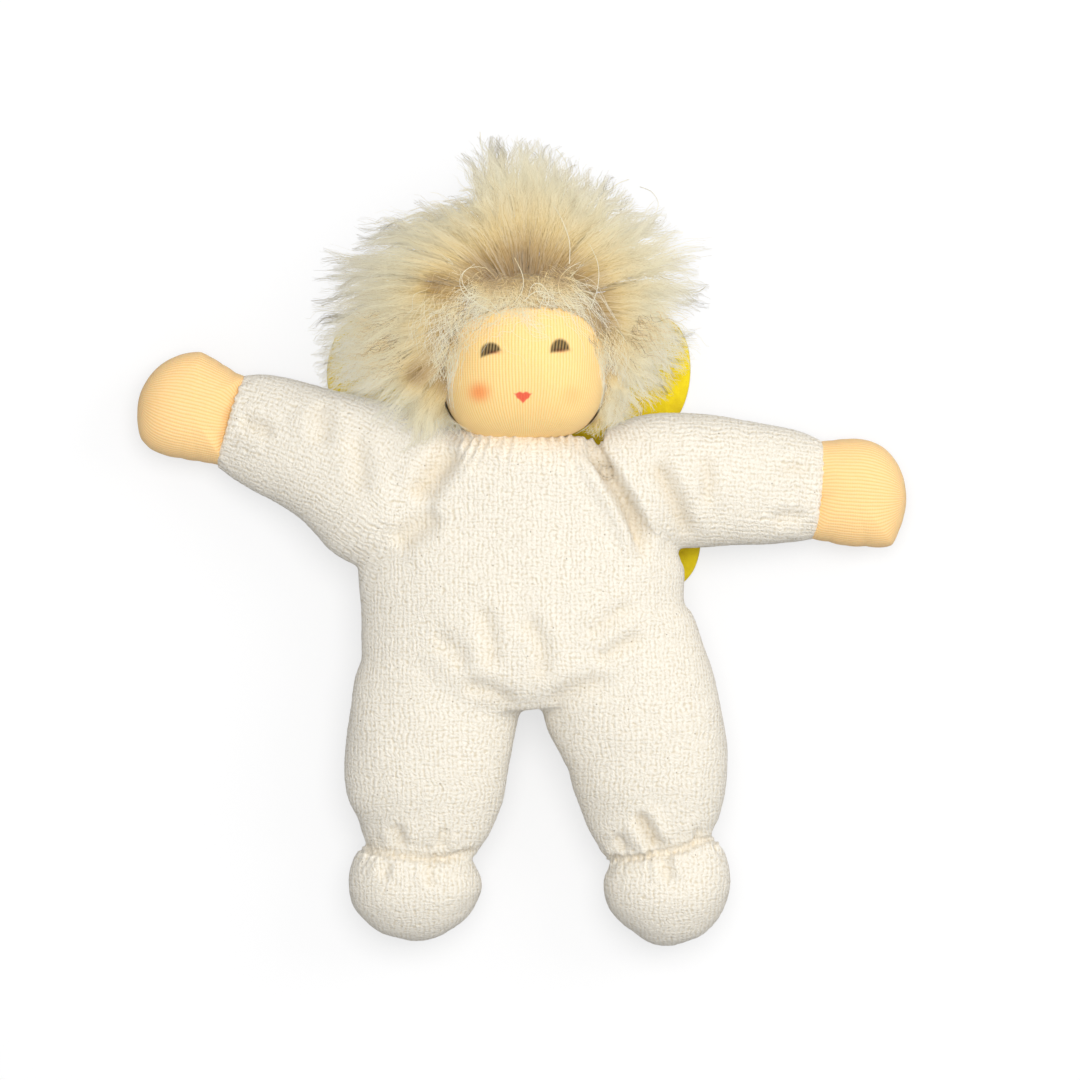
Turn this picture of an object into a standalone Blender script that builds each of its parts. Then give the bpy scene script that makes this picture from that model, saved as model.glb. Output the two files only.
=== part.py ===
# A soft Waldorf doll lying on its back: a terry suit stuffed with wool, jersey
# hands and head, a pile wig and a pair of felt wings sewn to the back.
# Units are metres. +X is the doll's left, +Y points to its crown, +Z is its front.
# The origin is on the floor, under the middle of the seat.

import math

import bmesh
import bpy
from mathutils import Matrix, Vector

# Cloth and general clearances
TERRY_WALL = 0.0020
JERSEY_WALL = 0.0011
GAP = 0.0003
REST_FLAT = 0.0012
OVERRUN = 0.0200
LIMB_SIDES = 18
BODY_SIDES = 24
THREAD_SIDES = 6
TORSO_RINGS = 24
HEAD_RINGS = 20
HAIR_RINGS = 18
ARM_RINGS = 13
LEG_RINGS = 14
INNER_RINGS = 14
NECK_RINGS = 9
SQUARENESS = 0.92

# Torso
HIP_HALF_WIDTH = 0.0650
BELLY_HALF_DEPTH = 0.0240
CHEST_FULL_HALF_WIDTH = 0.0660
SHOULDER_PLANE = 0.0490
ARMPIT_HEIGHT = 0.0100
SHOULDER_TOP = 0.0700
HIP_CREASE = 0.0367
TORSO_SHIFT = 0.0030
CHEST_RISE = 0.0024

# Arms, one form set at two swings
SLEEVE_LENGTH = 0.0595
SLEEVE_BASE_HALF_WIDTH = 0.0300
SLEEVE_HALF_DEPTH = 0.0160
SHOULDER_HEIGHT = 0.0395
SLEEVE_LIFT = 0.0212
HAND_LENGTH = 0.0330
HAND_HALF_WIDTH = 0.0187
HAND_HALF_DEPTH = 0.0128
HAND_LIFT = 0.0123
SWING_RIGHT_ARM = math.radians(20.5)
SWING_LEFT_ARM = math.radians(-3.4)
BEND_RIGHT_HAND = math.radians(5.5)
BEND_LEFT_HAND = math.radians(-6.8)

# Legs and feet
LEG_LENGTH = 0.0585
THIGH_HALF_WIDTH = 0.0302
LEG_HALF_DEPTH = 0.0210
LEG_LIFT = 0.0205
FOOT_LENGTH = 0.0335
FOOT_HALF_WIDTH = 0.0232
FOOT_HALF_DEPTH = 0.0190
FOOT_LIFT = 0.0185
RIGHT_LEG_CENTRE = 0.0312
LEFT_LEG_CENTRE = 0.0378
SPLAY_RIGHT_LEG = math.radians(6.4)
SPLAY_LEFT_LEG = math.radians(11.0)
THREAD_RADIUS = 0.0006

# Head, neck and wig
HEAD_HALF_WIDTH = 0.0300
HEAD_HALF_HEIGHT = 0.0320
HEAD_HALF_DEPTH = 0.0290
HEAD_SHIFT = 0.0013
CHIN_HEIGHT = 0.0544
HEAD_LIFT = 0.0320
NECK_BALL_RADIUS = 0.0080
NECK_RADIUS = 0.0060
NECK_PIVOT_RISE = 0.0026
NECK_DEPTH = 0.0180
COLLAR_HALF_WIDTH = 0.0460
COLLAR_DROP = 0.0018
HAIR_HALF_WIDTH = 0.0690
HAIR_HALF_DEPTH = 0.0315
HAIR_BOTTOM = 0.0720
HAIR_HEIGHT = 0.0900
HAIR_SHIFT = -0.0040
FACE_HALF_WIDTH = 0.0285
FACE_HALF_HEIGHT = 0.0235
FACE_HEIGHT = 0.0765

# Felt wings
FELT = 0.0027
WING_SPAN = 0.0640
WING_HEIGHT = 0.0990
WING_SHIFT = -0.0036
WING_BAND = 0.0060
WING_BAND_BOTTOM = 0.0240
WING_BAND_TOP = 0.0580
WING_INNER_SHARE = 0.48
WING_STEPS = 3

# Each station: share of the length, of the half width, of the half depth
SLEEVE_SHARES = ((-0.45, 1.00, 0.90), (0.0, 0.98, 1.00), (0.25, 0.90, 1.00), (0.55, 0.74, 0.93),
                 (0.82, 0.635, 0.82), (1.0, 0.585, 0.755), (1.25, 0.56, 0.74))
HAND_SHARES = ((-0.3, 0.90, 0.93), (0.0, 0.936, 0.975), (0.3, 1.0, 1.0), (0.58, 0.97, 0.93),
               (0.78, 0.80, 0.78), (0.91, 0.55, 0.54), (0.98, 0.26, 0.26), (1.0, 0.0, 0.0))
LEG_SHARES = ((-0.35, 1.0, 0.98), (0.0, 1.0, 1.0), (0.25, 0.995, 1.0), (0.50, 0.97, 0.99),
              (0.72, 0.88, 0.92), (0.88, 0.74, 0.80), (1.0, 0.64, 0.715), (1.1, 0.62, 0.70))
FOOT_SHARES = ((-0.15, 0.78, 0.72), (0.0, 0.82, 0.76), (0.12, 0.91, 0.88), (0.30, 0.99, 0.98),
               (0.48, 1.0, 1.0), (0.68, 0.92, 0.92), (0.84, 0.73, 0.73), (0.95, 0.43, 0.43),
               (1.0, 0.0, 0.0))
# Each station: height share of the hip or shoulder height, half widths, half depth share
TORSO_SHARES = ((-1.25, 1.02, 0.90), (-1.0, 1.0, 0.93), (-0.70, 0.955, 0.97), (-0.40, 0.915, 1.0),
                (0.0, 0.903, 0.99), (0.15, 0.93, 0.93), (0.32, 1.0, 0.86), (0.60, 1.0, 0.83),
                (0.86, 0.985, 0.78), (0.96, 0.93, 0.62), (1.0, 0.80, 0.35))
HAIR_SHARES = ((-0.08, 0.90, 0.86), (0.0, 0.95, 0.93), (0.18, 0.98, 1.0), (0.36, 0.985, 0.98),
               (0.52, 0.93, 0.88), (0.66, 0.74, 0.72), (0.80, 0.46, 0.50), (0.93, 0.22, 0.26),
               (1.0, 0.0, 0.0))
HAIR_LEAN_SHARES = ((-0.08, 0.0), (0.36, 0.01), (0.52, 0.03), (0.66, 0.17), (0.80, 0.26),
                    (1.0, 0.05))
WING_SHARES = ((0.0, 0.59), (0.20, 0.72), (0.50, 0.93), (0.77, 1.0), (0.95, 0.90), (1.0, 0.73),
               (0.93, 0.57), (0.78, 0.45), (0.93, 0.35), (1.0, 0.21), (0.92, 0.06), (0.68, 0.0),
               (0.34, 0.08), (0.0, 0.24))


def clear_scene():
    for item in list(bpy.data.objects):
        bpy.data.objects.remove(item, do_unlink=True)


def material(name, colour, roughness):
    made = bpy.data.materials.new(name)
    made.use_nodes = True
    shader = made.node_tree.nodes["Principled BSDF"]
    shader.inputs["Base Color"].default_value = (*colour, 1.0)
    shader.inputs["Roughness"].default_value = roughness
    shader.inputs["Metallic"].default_value = 0.0
    return made


def blended(table, column, share):
    """A smooth value from a table of stations, by cubic blending."""
    stops = [row[0] for row in table]
    place = max(0, min(len(stops) - 2, sum(share >= stop for stop in stops) - 1))
    low, high = stops[place], stops[place + 1]
    step = (share - low) / (high - low)
    values = [table[max(0, min(len(table) - 1, place + offset))][column] for offset in (-1, 0, 1, 2)]
    before, start, end, after = values
    slope_in = (end - before) / 2 if place > 0 else end - start
    slope_out = (after - start) / 2 if place < len(stops) - 2 else end - start
    square, cube = step * step, step * step * step
    return ((2 * cube - 3 * square + 1) * start + (cube - 2 * square + step) * slope_in
            + (3 * square - 2 * cube) * end + (cube - square) * slope_out)


def ring(centre, across, up, half_width, half_depth, sides, squareness):
    points = []
    for count in range(sides):
        angle = 2 * math.pi * (count + 0.5) / sides
        side, rise = math.cos(angle), math.sin(angle)
        reach = math.copysign(abs(side) ** squareness, side) * half_width
        height = math.copysign(abs(rise) ** squareness, rise) * half_depth
        points.append(centre + across * reach + up * height)
    return points


def loft(rings, start, end):
    """A closed mesh over the rings, each end drawn to its own point."""
    mesh = bmesh.new()
    rows = [[mesh.verts.new(point) for point in loop] for loop in rings]
    first, last = mesh.verts.new(start), mesh.verts.new(end)
    sides = len(rings[0])
    for near, far in zip(rows, rows[1:]):
        for count in range(sides):
            after = (count + 1) % sides
            mesh.faces.new((near[count], near[after], far[after], far[count]))
    for count in range(sides):
        after = (count + 1) % sides
        mesh.faces.new((first, rows[0][after], rows[0][count]))
        mesh.faces.new((last, rows[-1][count], rows[-1][after]))
    bmesh.ops.recalc_face_normals(mesh, faces=mesh.faces)
    return mesh


def stuffed_form(table, length, half_width, half_depth, frame, sides, rings, inset, lean=None,
                 squareness=SQUARENESS):
    """A swelling form along the frame's +X, lofted through a table of stations."""
    across, up = Vector((0, 1, 0)), Vector((0, 0, 1))
    first, last = table[0][0], table[-1][0]
    loops, centres = [], []
    for count in range(rings):
        share = first + (last - first) * math.sin(math.pi / 2 * (count + 0.5) / rings)
        width = max(blended(table, 1, share) * half_width - inset, GAP)
        depth = max(blended(table, 2, share) * half_depth - inset, GAP)
        side = blended(lean, 1, share) * half_width if lean else 0.0
        rise = blended(lean, 2, share) * half_depth if lean else 0.0
        along = share * length
        if table[-1][1] == 0.0:
            along = min(along, length - inset - GAP * (rings - count))
        centre = Vector((along, side, rise))
        centres.append(centre)
        loops.append(ring(centre, across, up, width, depth, sides, squareness))
    reach = GAP if table[-1][1] == 0.0 else 0.0
    mesh = loft(loops, centres[0], centres[-1] + Vector((reach, 0, 0)))
    bmesh.ops.transform(mesh, matrix=frame, verts=mesh.verts)
    return mesh


def ellipsoid(centre, half_width, half_height, half_depth, sides, rings):
    loops = []
    for count in range(1, rings):
        angle = math.pi * count / rings
        height = centre + Vector((0, -math.cos(angle) * half_height, 0))
        size = math.sin(angle)
        loops.append(ring(height, Vector((1, 0, 0)), Vector((0, 0, 1)), half_width * size,
                          half_depth * size, sides, 1.0))
    tip = Vector((0, half_height, 0))
    return loft(loops, centre - tip, centre + tip)


def box(low, high):
    mesh = bmesh.new()
    bmesh.ops.create_cube(mesh, size=1.0)
    low, high = Vector(low), Vector(high)
    size = high - low
    bmesh.ops.scale(mesh, vec=size, verts=mesh.verts)
    bmesh.ops.translate(mesh, vec=(low + high) / 2, verts=mesh.verts)
    return mesh


def cylinder(base, top, radius, sides):
    base, top = Vector(base), Vector(top)
    along = (top - base).normalized()
    across = along.orthogonal().normalized()
    up = along.cross(across)
    loops = [ring(end, across, up, radius, radius, sides, 1.0) for end in (base, top)]
    return loft(loops, base, top)


def joint_frame(name, place):
    empty = bpy.data.objects.new(name, None)
    empty.location = place
    empty.empty_display_size = WING_BAND
    bpy.context.collection.objects.link(empty)
    return empty


def piece(name, mesh, finish, parent=None):
    """An object whose mesh is written about its parent's place."""
    data = bpy.data.meshes.new(name)
    if parent is not None:
        bmesh.ops.translate(mesh, vec=-parent.location, verts=mesh.verts)
    mesh.to_mesh(data)
    mesh.free()
    data.shade_smooth()
    item = bpy.data.objects.new(name, data)
    bpy.context.collection.objects.link(item)
    item.parent = parent
    if finish is not None:
        data.materials.append(finish)
    return item


def cutter(name, mesh):
    item = piece(name, mesh, None)
    item.hide_render = True
    item.display_type = "WIRE"
    return item


def cut(item, *tools):
    for tool in tools:
        step = item.modifiers.new(tool.name, "BOOLEAN")
        step.operation = "DIFFERENCE"
        step.solver = "EXACT"
        step.object = tool


def slab(name, low, high):
    return cutter(name, box(low, high))


def limb_frame(side, base, turn):
    """A frame whose +X runs out along a limb that starts at the base."""
    outward = Matrix.Rotation(turn, 4, "Z")
    if side < 0:
        outward = Matrix.Rotation(math.pi - turn, 4, "Z")
    return Matrix.Translation(base) @ outward


def make_torso(finish, wool, tools):
    hips = Matrix.Translation((0, 0, BELLY_HALF_DEPTH - REST_FLAT)) @ Matrix.Rotation(math.pi / 2, 4, "Z")
    table = [(share * (HIP_CREASE if share < 0 else SHOULDER_TOP), width * across, depth)
             for share, width, depth in TORSO_SHARES
             for across in [HIP_HALF_WIDTH if share <= 0.15 else CHEST_FULL_HALF_WIDTH]]
    rise = CHEST_RISE / BELLY_HALF_DEPTH
    lean = [(-HIP_CREASE * 1.25, -TORSO_SHIFT, 0.0), (CHEST_RISE, 0.0, 0.0),
            (CHEST_RISE * 3, 0.0, rise), (SHOULDER_TOP, 0.0, rise)]
    outer = stuffed_form(table, 1.0, 1.0, BELLY_HALF_DEPTH, hips, BODY_SIDES, TORSO_RINGS, 0.0, lean)
    fill_rings = TORSO_RINGS // 2
    hollow = stuffed_form(table, 1.0, 1.0, BELLY_HALF_DEPTH, hips, LIMB_SIDES, fill_rings, TERRY_WALL,
                          lean)
    filling = stuffed_form(table, 1.0, 1.0, BELLY_HALF_DEPTH, hips, LIMB_SIDES, fill_rings,
                           TERRY_WALL + GAP * 2, lean)
    torso = piece("torso_cover", outer, finish)
    stuffing = piece("torso_stuffing", filling, wool)
    cut(torso, cutter("torso_hollow", hollow), *tools, slab("torso_rest", *rest_corners()))
    cut(stuffing, *tools)
    return torso


def rest_corners():
    reach = SHOULDER_PLANE * 4
    return (-reach, -reach, -OVERRUN), (reach, reach, 0)


def shoulder_tools():
    """Cuts at the armholes, the hip crease and the dished neckline."""
    wide, deep = SHOULDER_PLANE * 3, BELLY_HALF_DEPTH * 3
    inner = SHOULDER_PLANE - GAP / 2
    tools = [slab("armhole_left_cut", (inner, ARMPIT_HEIGHT, -OVERRUN), (wide, wide, deep)),
             slab("armhole_right_cut", (-wide, ARMPIT_HEIGHT, -OVERRUN), (-inner, wide, deep)),
             slab("hip_cut", (-wide, -wide, -OVERRUN), (wide, GAP / 2 - HIP_CREASE, deep))]
    beside, top = WING_SPAN * WING_INNER_SHARE, FELT + GAP
    start = FELT + GAP
    tools += [slab("wing_recess_cut", (-wide, start, -OVERRUN), (wide, wide, top)),
              slab("wing_left_recess_cut", (beside, -FELT, -OVERRUN), (wide, wide, top)),
              slab("wing_right_recess_cut", (-wide, -FELT, -OVERRUN), (-beside, wide, top))]
    place = head_centre()
    dish = ellipsoid(place, COLLAR_HALF_WIDTH, HEAD_HALF_HEIGHT + COLLAR_DROP, COLLAR_HALF_WIDTH,
                     BODY_SIDES, HEAD_RINGS)
    tools.append(cutter("neckline_cut", dish))
    pivot = neck_pivot()
    low = pivot - Vector((0, NECK_DEPTH + GAP, 0))
    tools.append(cutter("neck_hole", cylinder(low, pivot, NECK_RADIUS + GAP, LIMB_SIDES)))
    seat = pivot - Vector((0, NECK_BALL_RADIUS + THREAD_RADIUS * 4, 0))
    ring_hole = NECK_RADIUS + THREAD_RADIUS * 2 + GAP * 2
    tools.append(cutter("collar_thread_hole", cylinder(seat, pivot, ring_hole, LIMB_SIDES)))
    return tools


def head_centre():
    return Vector((HEAD_SHIFT, CHIN_HEIGHT + HEAD_HALF_HEIGHT, HEAD_LIFT))


def neck_pivot():
    return Vector((HEAD_SHIFT, CHIN_HEIGHT + NECK_PIVOT_RISE, HEAD_LIFT))


def cover_and_filling(name, fill_name, table, length, half_width, half_depth, frame, wall, looks, cuts,
                      fill_cuts, parent, rings):
    """A stitched cloth cover with its wool filling inside it."""
    cloth, wool = looks
    outer = stuffed_form(table, length, half_width, half_depth, frame, LIMB_SIDES, rings, 0.0)
    inner_sides = LIMB_SIDES - 2
    hollow = stuffed_form(table, length, half_width, half_depth, frame, inner_sides, rings - 2, wall)
    filling = stuffed_form(table, length, half_width, half_depth, frame, inner_sides, rings - 2,
                           wall + GAP)
    cover = piece(name, outer, cloth, parent)
    fill = piece(fill_name, filling, wool, parent)
    cut(cover, cutter(name + "_hollow", hollow), *cuts)
    cut(fill, *fill_cuts)
    return cover


def across_cut(name, frame, start, end):
    """A slab square to a limb, from one distance along it to another."""
    reach = SHOULDER_PLANE * 2
    mesh = box((start, -reach, -reach), (end, reach, reach))
    bmesh.ops.transform(mesh, matrix=frame, verts=mesh.verts)
    return cutter(name, mesh)


def make_arm(side, swing, bend, looks, rest):
    label = "left" if side > 0 else "right"
    terry, jersey, wool = looks
    crease = SLEEVE_LIFT + SLEEVE_HALF_DEPTH + GAP
    parent = joint_frame(f"shoulder_{label}", (side * SHOULDER_PLANE, SHOULDER_HEIGHT, crease))
    base = Vector((side * SHOULDER_PLANE, SHOULDER_HEIGHT, SLEEVE_LIFT))
    frame = limb_frame(side, base, swing)
    outer_edge = side * (SHOULDER_PLANE + GAP / 2)
    far = SHOULDER_PLANE * 3
    low = (min(outer_edge, -side * far), -far, -OVERRUN)
    high = (max(outer_edge, -side * far), far, far)
    inside = slab(f"sleeve_{label}_inside_cut", low, high)
    armpit = slab(f"sleeve_{label}_armpit_cut", (-far, -far, -OVERRUN), (far, ARMPIT_HEIGHT + GAP, far))
    seam = SLEEVE_LENGTH - GAP / 2
    wrist_cut = across_cut(f"wrist_{label}_cut", frame, seam, SLEEVE_LENGTH * 2)
    drop = (HAND_LIFT - SLEEVE_LIFT) / SLEEVE_LENGTH
    fall = Matrix.Identity(4)
    fall[2][0] = drop
    sleeve_frame = frame @ fall
    cuts = (inside, armpit, wrist_cut)
    cover_and_filling(f"sleeve_{label}", f"arm_stuffing_{label}", SLEEVE_SHARES, SLEEVE_LENGTH,
                      SLEEVE_BASE_HALF_WIDTH, SLEEVE_HALF_DEPTH, sleeve_frame, TERRY_WALL,
                      (terry, wool), cuts, cuts, parent, ARM_RINGS)
    wrist = frame @ Vector((SLEEVE_LENGTH, 0, HAND_LIFT - SLEEVE_LIFT))
    hand_frame = limb_frame(side, wrist, bend)
    hand_cut = across_cut(f"hand_{label}_cut", frame, -SLEEVE_LENGTH, SLEEVE_LENGTH + GAP / 2)
    cover_and_filling(f"hand_{label}", f"hand_stuffing_{label}", HAND_SHARES, HAND_LENGTH,
                      HAND_HALF_WIDTH, HAND_HALF_DEPTH, hand_frame, JERSEY_WALL, (jersey, wool),
                      (hand_cut, rest), (hand_cut,), parent, ARM_RINGS)


def make_leg(side, centre, splay, looks, rest):
    label = "left" if side > 0 else "right"
    terry, wool = looks
    crease = LEG_LIFT + LEG_HALF_DEPTH + GAP
    parent = joint_frame(f"hip_{label}", (side * centre, -HIP_CREASE, crease))
    base = Vector((side * centre, -HIP_CREASE, LEG_LIFT))
    frame = Matrix.Translation(base) @ Matrix.Rotation(side * splay - math.pi / 2, 4, "Z")
    far = SHOULDER_PLANE * 3
    above = slab(f"leg_{label}_top_cut", (-far, -HIP_CREASE - GAP / 2, -OVERRUN), (far, far, far))
    middle = side * GAP / 2
    low = (min(middle, -side * far), -far, -OVERRUN)
    high = (max(middle, -side * far), far, far)
    between = slab(f"leg_{label}_middle_cut", low, high)
    below = across_cut(f"ankle_{label}_cut", frame, LEG_LENGTH - GAP / 2, LEG_LENGTH * 2)
    cuts = (above, between, below)
    cover_and_filling(f"leg_{label}", f"leg_stuffing_{label}", LEG_SHARES, LEG_LENGTH,
                      THIGH_HALF_WIDTH, LEG_HALF_DEPTH, frame, TERRY_WALL, (terry, wool),
                      (*cuts, rest), cuts, parent, LEG_RINGS)
    make_ankle_thread(label, frame, looks, parent)
    make_foot(label, frame, looks, parent, rest)


def make_ankle_thread(label, frame, looks, parent):
    """The gathering thread, a closed loop round the drawn-in ankle."""
    _, width_share, depth_share = LEG_SHARES[-2]
    clear = THREAD_RADIUS + GAP * 3
    half_width = THIGH_HALF_WIDTH * width_share + clear
    half_depth = LEG_HALF_DEPTH * depth_share + clear
    centre = Vector((LEG_LENGTH - THREAD_RADIUS * 2, 0, 0))
    path = ring(centre, Vector((0, 1, 0)), Vector((0, 0, 1)), half_width, half_depth, LIMB_SIDES,
                SQUARENESS)
    mesh = bmesh.new()
    rows = []
    for point in path:
        out = (point - centre).normalized()
        rows.append([mesh.verts.new(point + out * math.cos(turn) * THREAD_RADIUS
                                    + Vector((math.sin(turn) * THREAD_RADIUS, 0, 0)))
                     for turn in [2 * math.pi * count / THREAD_SIDES for count in range(THREAD_SIDES)]])
    for near, far in zip(rows, rows[1:] + rows[:1]):
        for count in range(THREAD_SIDES):
            after = (count + 1) % THREAD_SIDES
            mesh.faces.new((near[count], near[after], far[after], far[count]))
    bmesh.ops.recalc_face_normals(mesh, faces=mesh.faces)
    bmesh.ops.transform(mesh, matrix=frame, verts=mesh.verts)
    piece(f"ankle_thread_{label}", mesh, looks[0], parent)


def make_foot(label, leg_frame, looks, leg_parent, rest):
    terry, wool = looks
    crease = FOOT_LIFT - LEG_LIFT + FOOT_HALF_DEPTH + GAP
    place = leg_frame @ Vector((LEG_LENGTH, 0, crease))
    parent = joint_frame(f"ankle_{label}", place)
    frame = leg_frame @ Matrix.Translation((LEG_LENGTH, 0, FOOT_LIFT - LEG_LIFT))
    top = across_cut(f"foot_{label}_cut", leg_frame, -LEG_LENGTH, LEG_LENGTH + GAP / 2)
    cover_and_filling(f"foot_{label}", f"foot_stuffing_{label}", FOOT_SHARES, FOOT_LENGTH,
                      FOOT_HALF_WIDTH, FOOT_HALF_DEPTH, frame, TERRY_WALL, (terry, wool), (top, rest),
                      (top,), parent, LEG_RINGS)


def make_neck(looks):
    jersey, thread = looks
    pivot = neck_pivot()
    parent = joint_frame("neck", pivot)
    low = pivot - Vector((0, NECK_DEPTH, 0))
    shaft_rows = []
    radius = NECK_BALL_RADIUS - GAP
    meet = math.asin(NECK_RADIUS / radius)
    for height in (0.0, 0.5, 1.0):
        top = -math.cos(meet) * radius
        centre = low + Vector((0, (NECK_DEPTH + top) * height, 0))
        shaft_rows.append(ring(centre, Vector((1, 0, 0)), Vector((0, 0, 1)), NECK_RADIUS, NECK_RADIUS,
                               LIMB_SIDES, 1.0))
    for count in range(1, NECK_RINGS):
        angle = meet + (math.pi - meet) * count / NECK_RINGS
        centre = pivot - Vector((0, math.cos(angle) * radius, 0))
        size = math.sin(angle) * radius
        shaft_rows.append(ring(centre, Vector((1, 0, 0)), Vector((0, 0, 1)), size, size, LIMB_SIDES,
                               1.0))
    piece("neck_core", loft(shaft_rows, low, pivot + Vector((0, radius, 0))), jersey, parent)
    make_collar_thread(thread, pivot, parent)


def make_collar_thread(finish, pivot, parent):
    centre = pivot - Vector((0, NECK_BALL_RADIUS + THREAD_RADIUS * 2, 0))
    major = NECK_RADIUS + THREAD_RADIUS + GAP
    mesh = bmesh.new()
    rows = []
    for step in range(LIMB_SIDES):
        angle = 2 * math.pi * step / LIMB_SIDES
        out = Vector((math.cos(angle), 0, math.sin(angle)))
        rows.append([mesh.verts.new(centre + out * (major + THREAD_RADIUS * math.cos(turn))
                                    + Vector((0, THREAD_RADIUS * math.sin(turn), 0)))
                     for turn in [2 * math.pi * count / THREAD_SIDES for count in range(THREAD_SIDES)]])
    for near, far in zip(rows, rows[1:] + rows[:1]):
        for count in range(THREAD_SIDES):
            after = (count + 1) % THREAD_SIDES
            mesh.faces.new((near[count], near[after], far[after], far[count]))
    bmesh.ops.recalc_face_normals(mesh, faces=mesh.faces)
    piece("collar_thread", mesh, finish, parent)


def make_head(looks, rest):
    jersey, wool, pile = looks
    centre, pivot = head_centre(), neck_pivot()
    parent = joint_frame("nod", pivot)
    socket = cutter("neck_socket", ellipsoid(pivot, NECK_BALL_RADIUS, NECK_BALL_RADIUS,
                                             NECK_BALL_RADIUS, LIMB_SIDES, INNER_RINGS))
    low = pivot - Vector((0, NECK_DEPTH, 0))
    shaft = cutter("neck_way", cylinder(low, pivot, NECK_BALL_RADIUS - GAP, LIMB_SIDES))

    def ball(change, sides, rings):
        return ellipsoid(centre, HEAD_HALF_WIDTH + change, HEAD_HALF_HEIGHT + change,
                         HEAD_HALF_DEPTH + change, sides, rings)

    head = piece("head_skin", ball(0.0, BODY_SIDES, HEAD_RINGS), jersey, parent)
    core = piece("head_core", ball(-JERSEY_WALL - GAP, LIMB_SIDES, INNER_RINGS), wool, parent)
    hollow = cutter("head_hollow", ball(-JERSEY_WALL, LIMB_SIDES, INNER_RINGS))
    cut(head, hollow, socket, shaft)
    cut(core, socket, shaft)
    make_hair(pile, parent, cutter("head_room", ball(GAP, BODY_SIDES, HEAD_RINGS)), rest)


def make_hair(finish, parent, head_room, rest):
    """The wig's outer shape, cut away for the head, the face and the wings."""
    frame = (Matrix.Translation((HAIR_SHIFT, HAIR_BOTTOM, HAIR_HALF_DEPTH - REST_FLAT))
             @ Matrix.Rotation(math.pi / 2, 4, "Z"))
    lean = [(share, -side, 0.0) for share, side in HAIR_LEAN_SHARES]
    mesh = stuffed_form(HAIR_SHARES, HAIR_HEIGHT, HAIR_HALF_WIDTH, HAIR_HALF_DEPTH, frame, BODY_SIDES,
                        HAIR_RINGS, 0.0, lean)
    hair = piece("hair", mesh, finish, parent)
    far = SHOULDER_PLANE * 3
    low = slab("hair_bottom_cut", (-far, -far, -OVERRUN), (far, HAIR_BOTTOM, far))
    face = face_window()
    room = WING_BAND * 2
    top = FELT + GAP
    wings = [slab("hair_wing_left_cut", (room, -far, -OVERRUN), (far, WING_HEIGHT + GAP, top)),
             slab("hair_wing_right_cut", (-far, -far, -OVERRUN), (-room, WING_HEIGHT + GAP, top))]
    cut(hair, head_room, face, low, *wings, rest)


def face_window():
    """An oval opening from the head's middle out to the front."""
    back = Vector((HEAD_SHIFT, FACE_HEIGHT, HEAD_LIFT))
    front = back + Vector((0, 0, HAIR_HALF_DEPTH * 2))
    loops = [ring(end, Vector((1, 0, 0)), Vector((0, 1, 0)), FACE_HALF_WIDTH, FACE_HALF_HEIGHT,
                  BODY_SIDES, 1.0) for end in (back, front)]
    return cutter("face_window", loft(loops, back, front))


def wing_outline(side):
    """The lobed outline of one wing, smoothed through its named shares."""
    points = []
    last = len(WING_SHARES) - 1
    for count in range(last):
        for step in range(WING_STEPS):
            share = step / WING_STEPS
            near = [WING_SHARES[max(0, min(last, count + offset))] for offset in (-1, 0, 1, 2)]
            place = [(2 * b + (c - a) * share + (2 * a - 5 * b + 4 * c - d) * share ** 2
                      + (3 * b - a - 3 * c + d) * share ** 3) / 2
                     for a, b, c, d in zip(*near)]
            points.append(place)
    points.append(WING_SHARES[-1])
    root = WING_BAND / 2 + GAP
    span = WING_SPAN - root
    return [Vector((WING_SHIFT + side * (root + max(x, 0.0) * span), y * WING_HEIGHT, 0))
            for x, y in points]


def make_wing(side, finish):
    label = "left" if side > 0 else "right"
    root = WING_SHIFT + side * (WING_BAND / 2 + GAP)
    parent = joint_frame(f"wing_{label}_root", (root, 0, 0))
    mesh = bmesh.new()
    lower = [mesh.verts.new(point) for point in wing_outline(side)]
    face = mesh.faces.new(lower)
    made = bmesh.ops.extrude_face_region(mesh, geom=[face])
    raised = [item for item in made["geom"] if isinstance(item, bmesh.types.BMVert)]
    bmesh.ops.translate(mesh, vec=(0, 0, FELT), verts=raised)
    bmesh.ops.recalc_face_normals(mesh, faces=mesh.faces)
    bmesh.ops.triangulate(mesh, faces=mesh.faces)
    piece(f"wing_{label}", mesh, finish, parent)


def make_wing_band(finish):
    half = WING_BAND / 2
    mesh = box((WING_SHIFT - half, WING_BAND_BOTTOM, 0), (WING_SHIFT + half, WING_BAND_TOP, FELT))
    piece("wing_band", mesh, finish)


def make_doll():
    clear_scene()
    terry = material("terry", (0.93, 0.89, 0.82), 0.95)
    jersey = material("jersey", (0.98, 0.72, 0.42), 0.85)
    wool = material("wool filling", (0.90, 0.85, 0.74), 0.95)
    pile = material("pile", (0.84, 0.74, 0.50), 0.80)
    felt = material("yellow felt", (0.93, 0.72, 0.04), 0.95)
    thread = material("thread", (0.88, 0.82, 0.70), 0.80)
    rest = slab("floor_cut", *rest_corners())
    make_torso(terry, wool, shoulder_tools())
    make_arm(1, SWING_LEFT_ARM, BEND_LEFT_HAND, (terry, jersey, wool), rest)
    make_arm(-1, SWING_RIGHT_ARM, BEND_RIGHT_HAND, (terry, jersey, wool), rest)
    make_leg(1, LEFT_LEG_CENTRE, SPLAY_LEFT_LEG, (terry, wool), rest)
    make_leg(-1, RIGHT_LEG_CENTRE, SPLAY_RIGHT_LEG, (terry, wool), rest)
    make_neck((jersey, thread))
    make_head((jersey, wool, pile), rest)
    make_wing(1, felt)
    make_wing(-1, felt)
    make_wing_band(felt)


make_doll()
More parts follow.
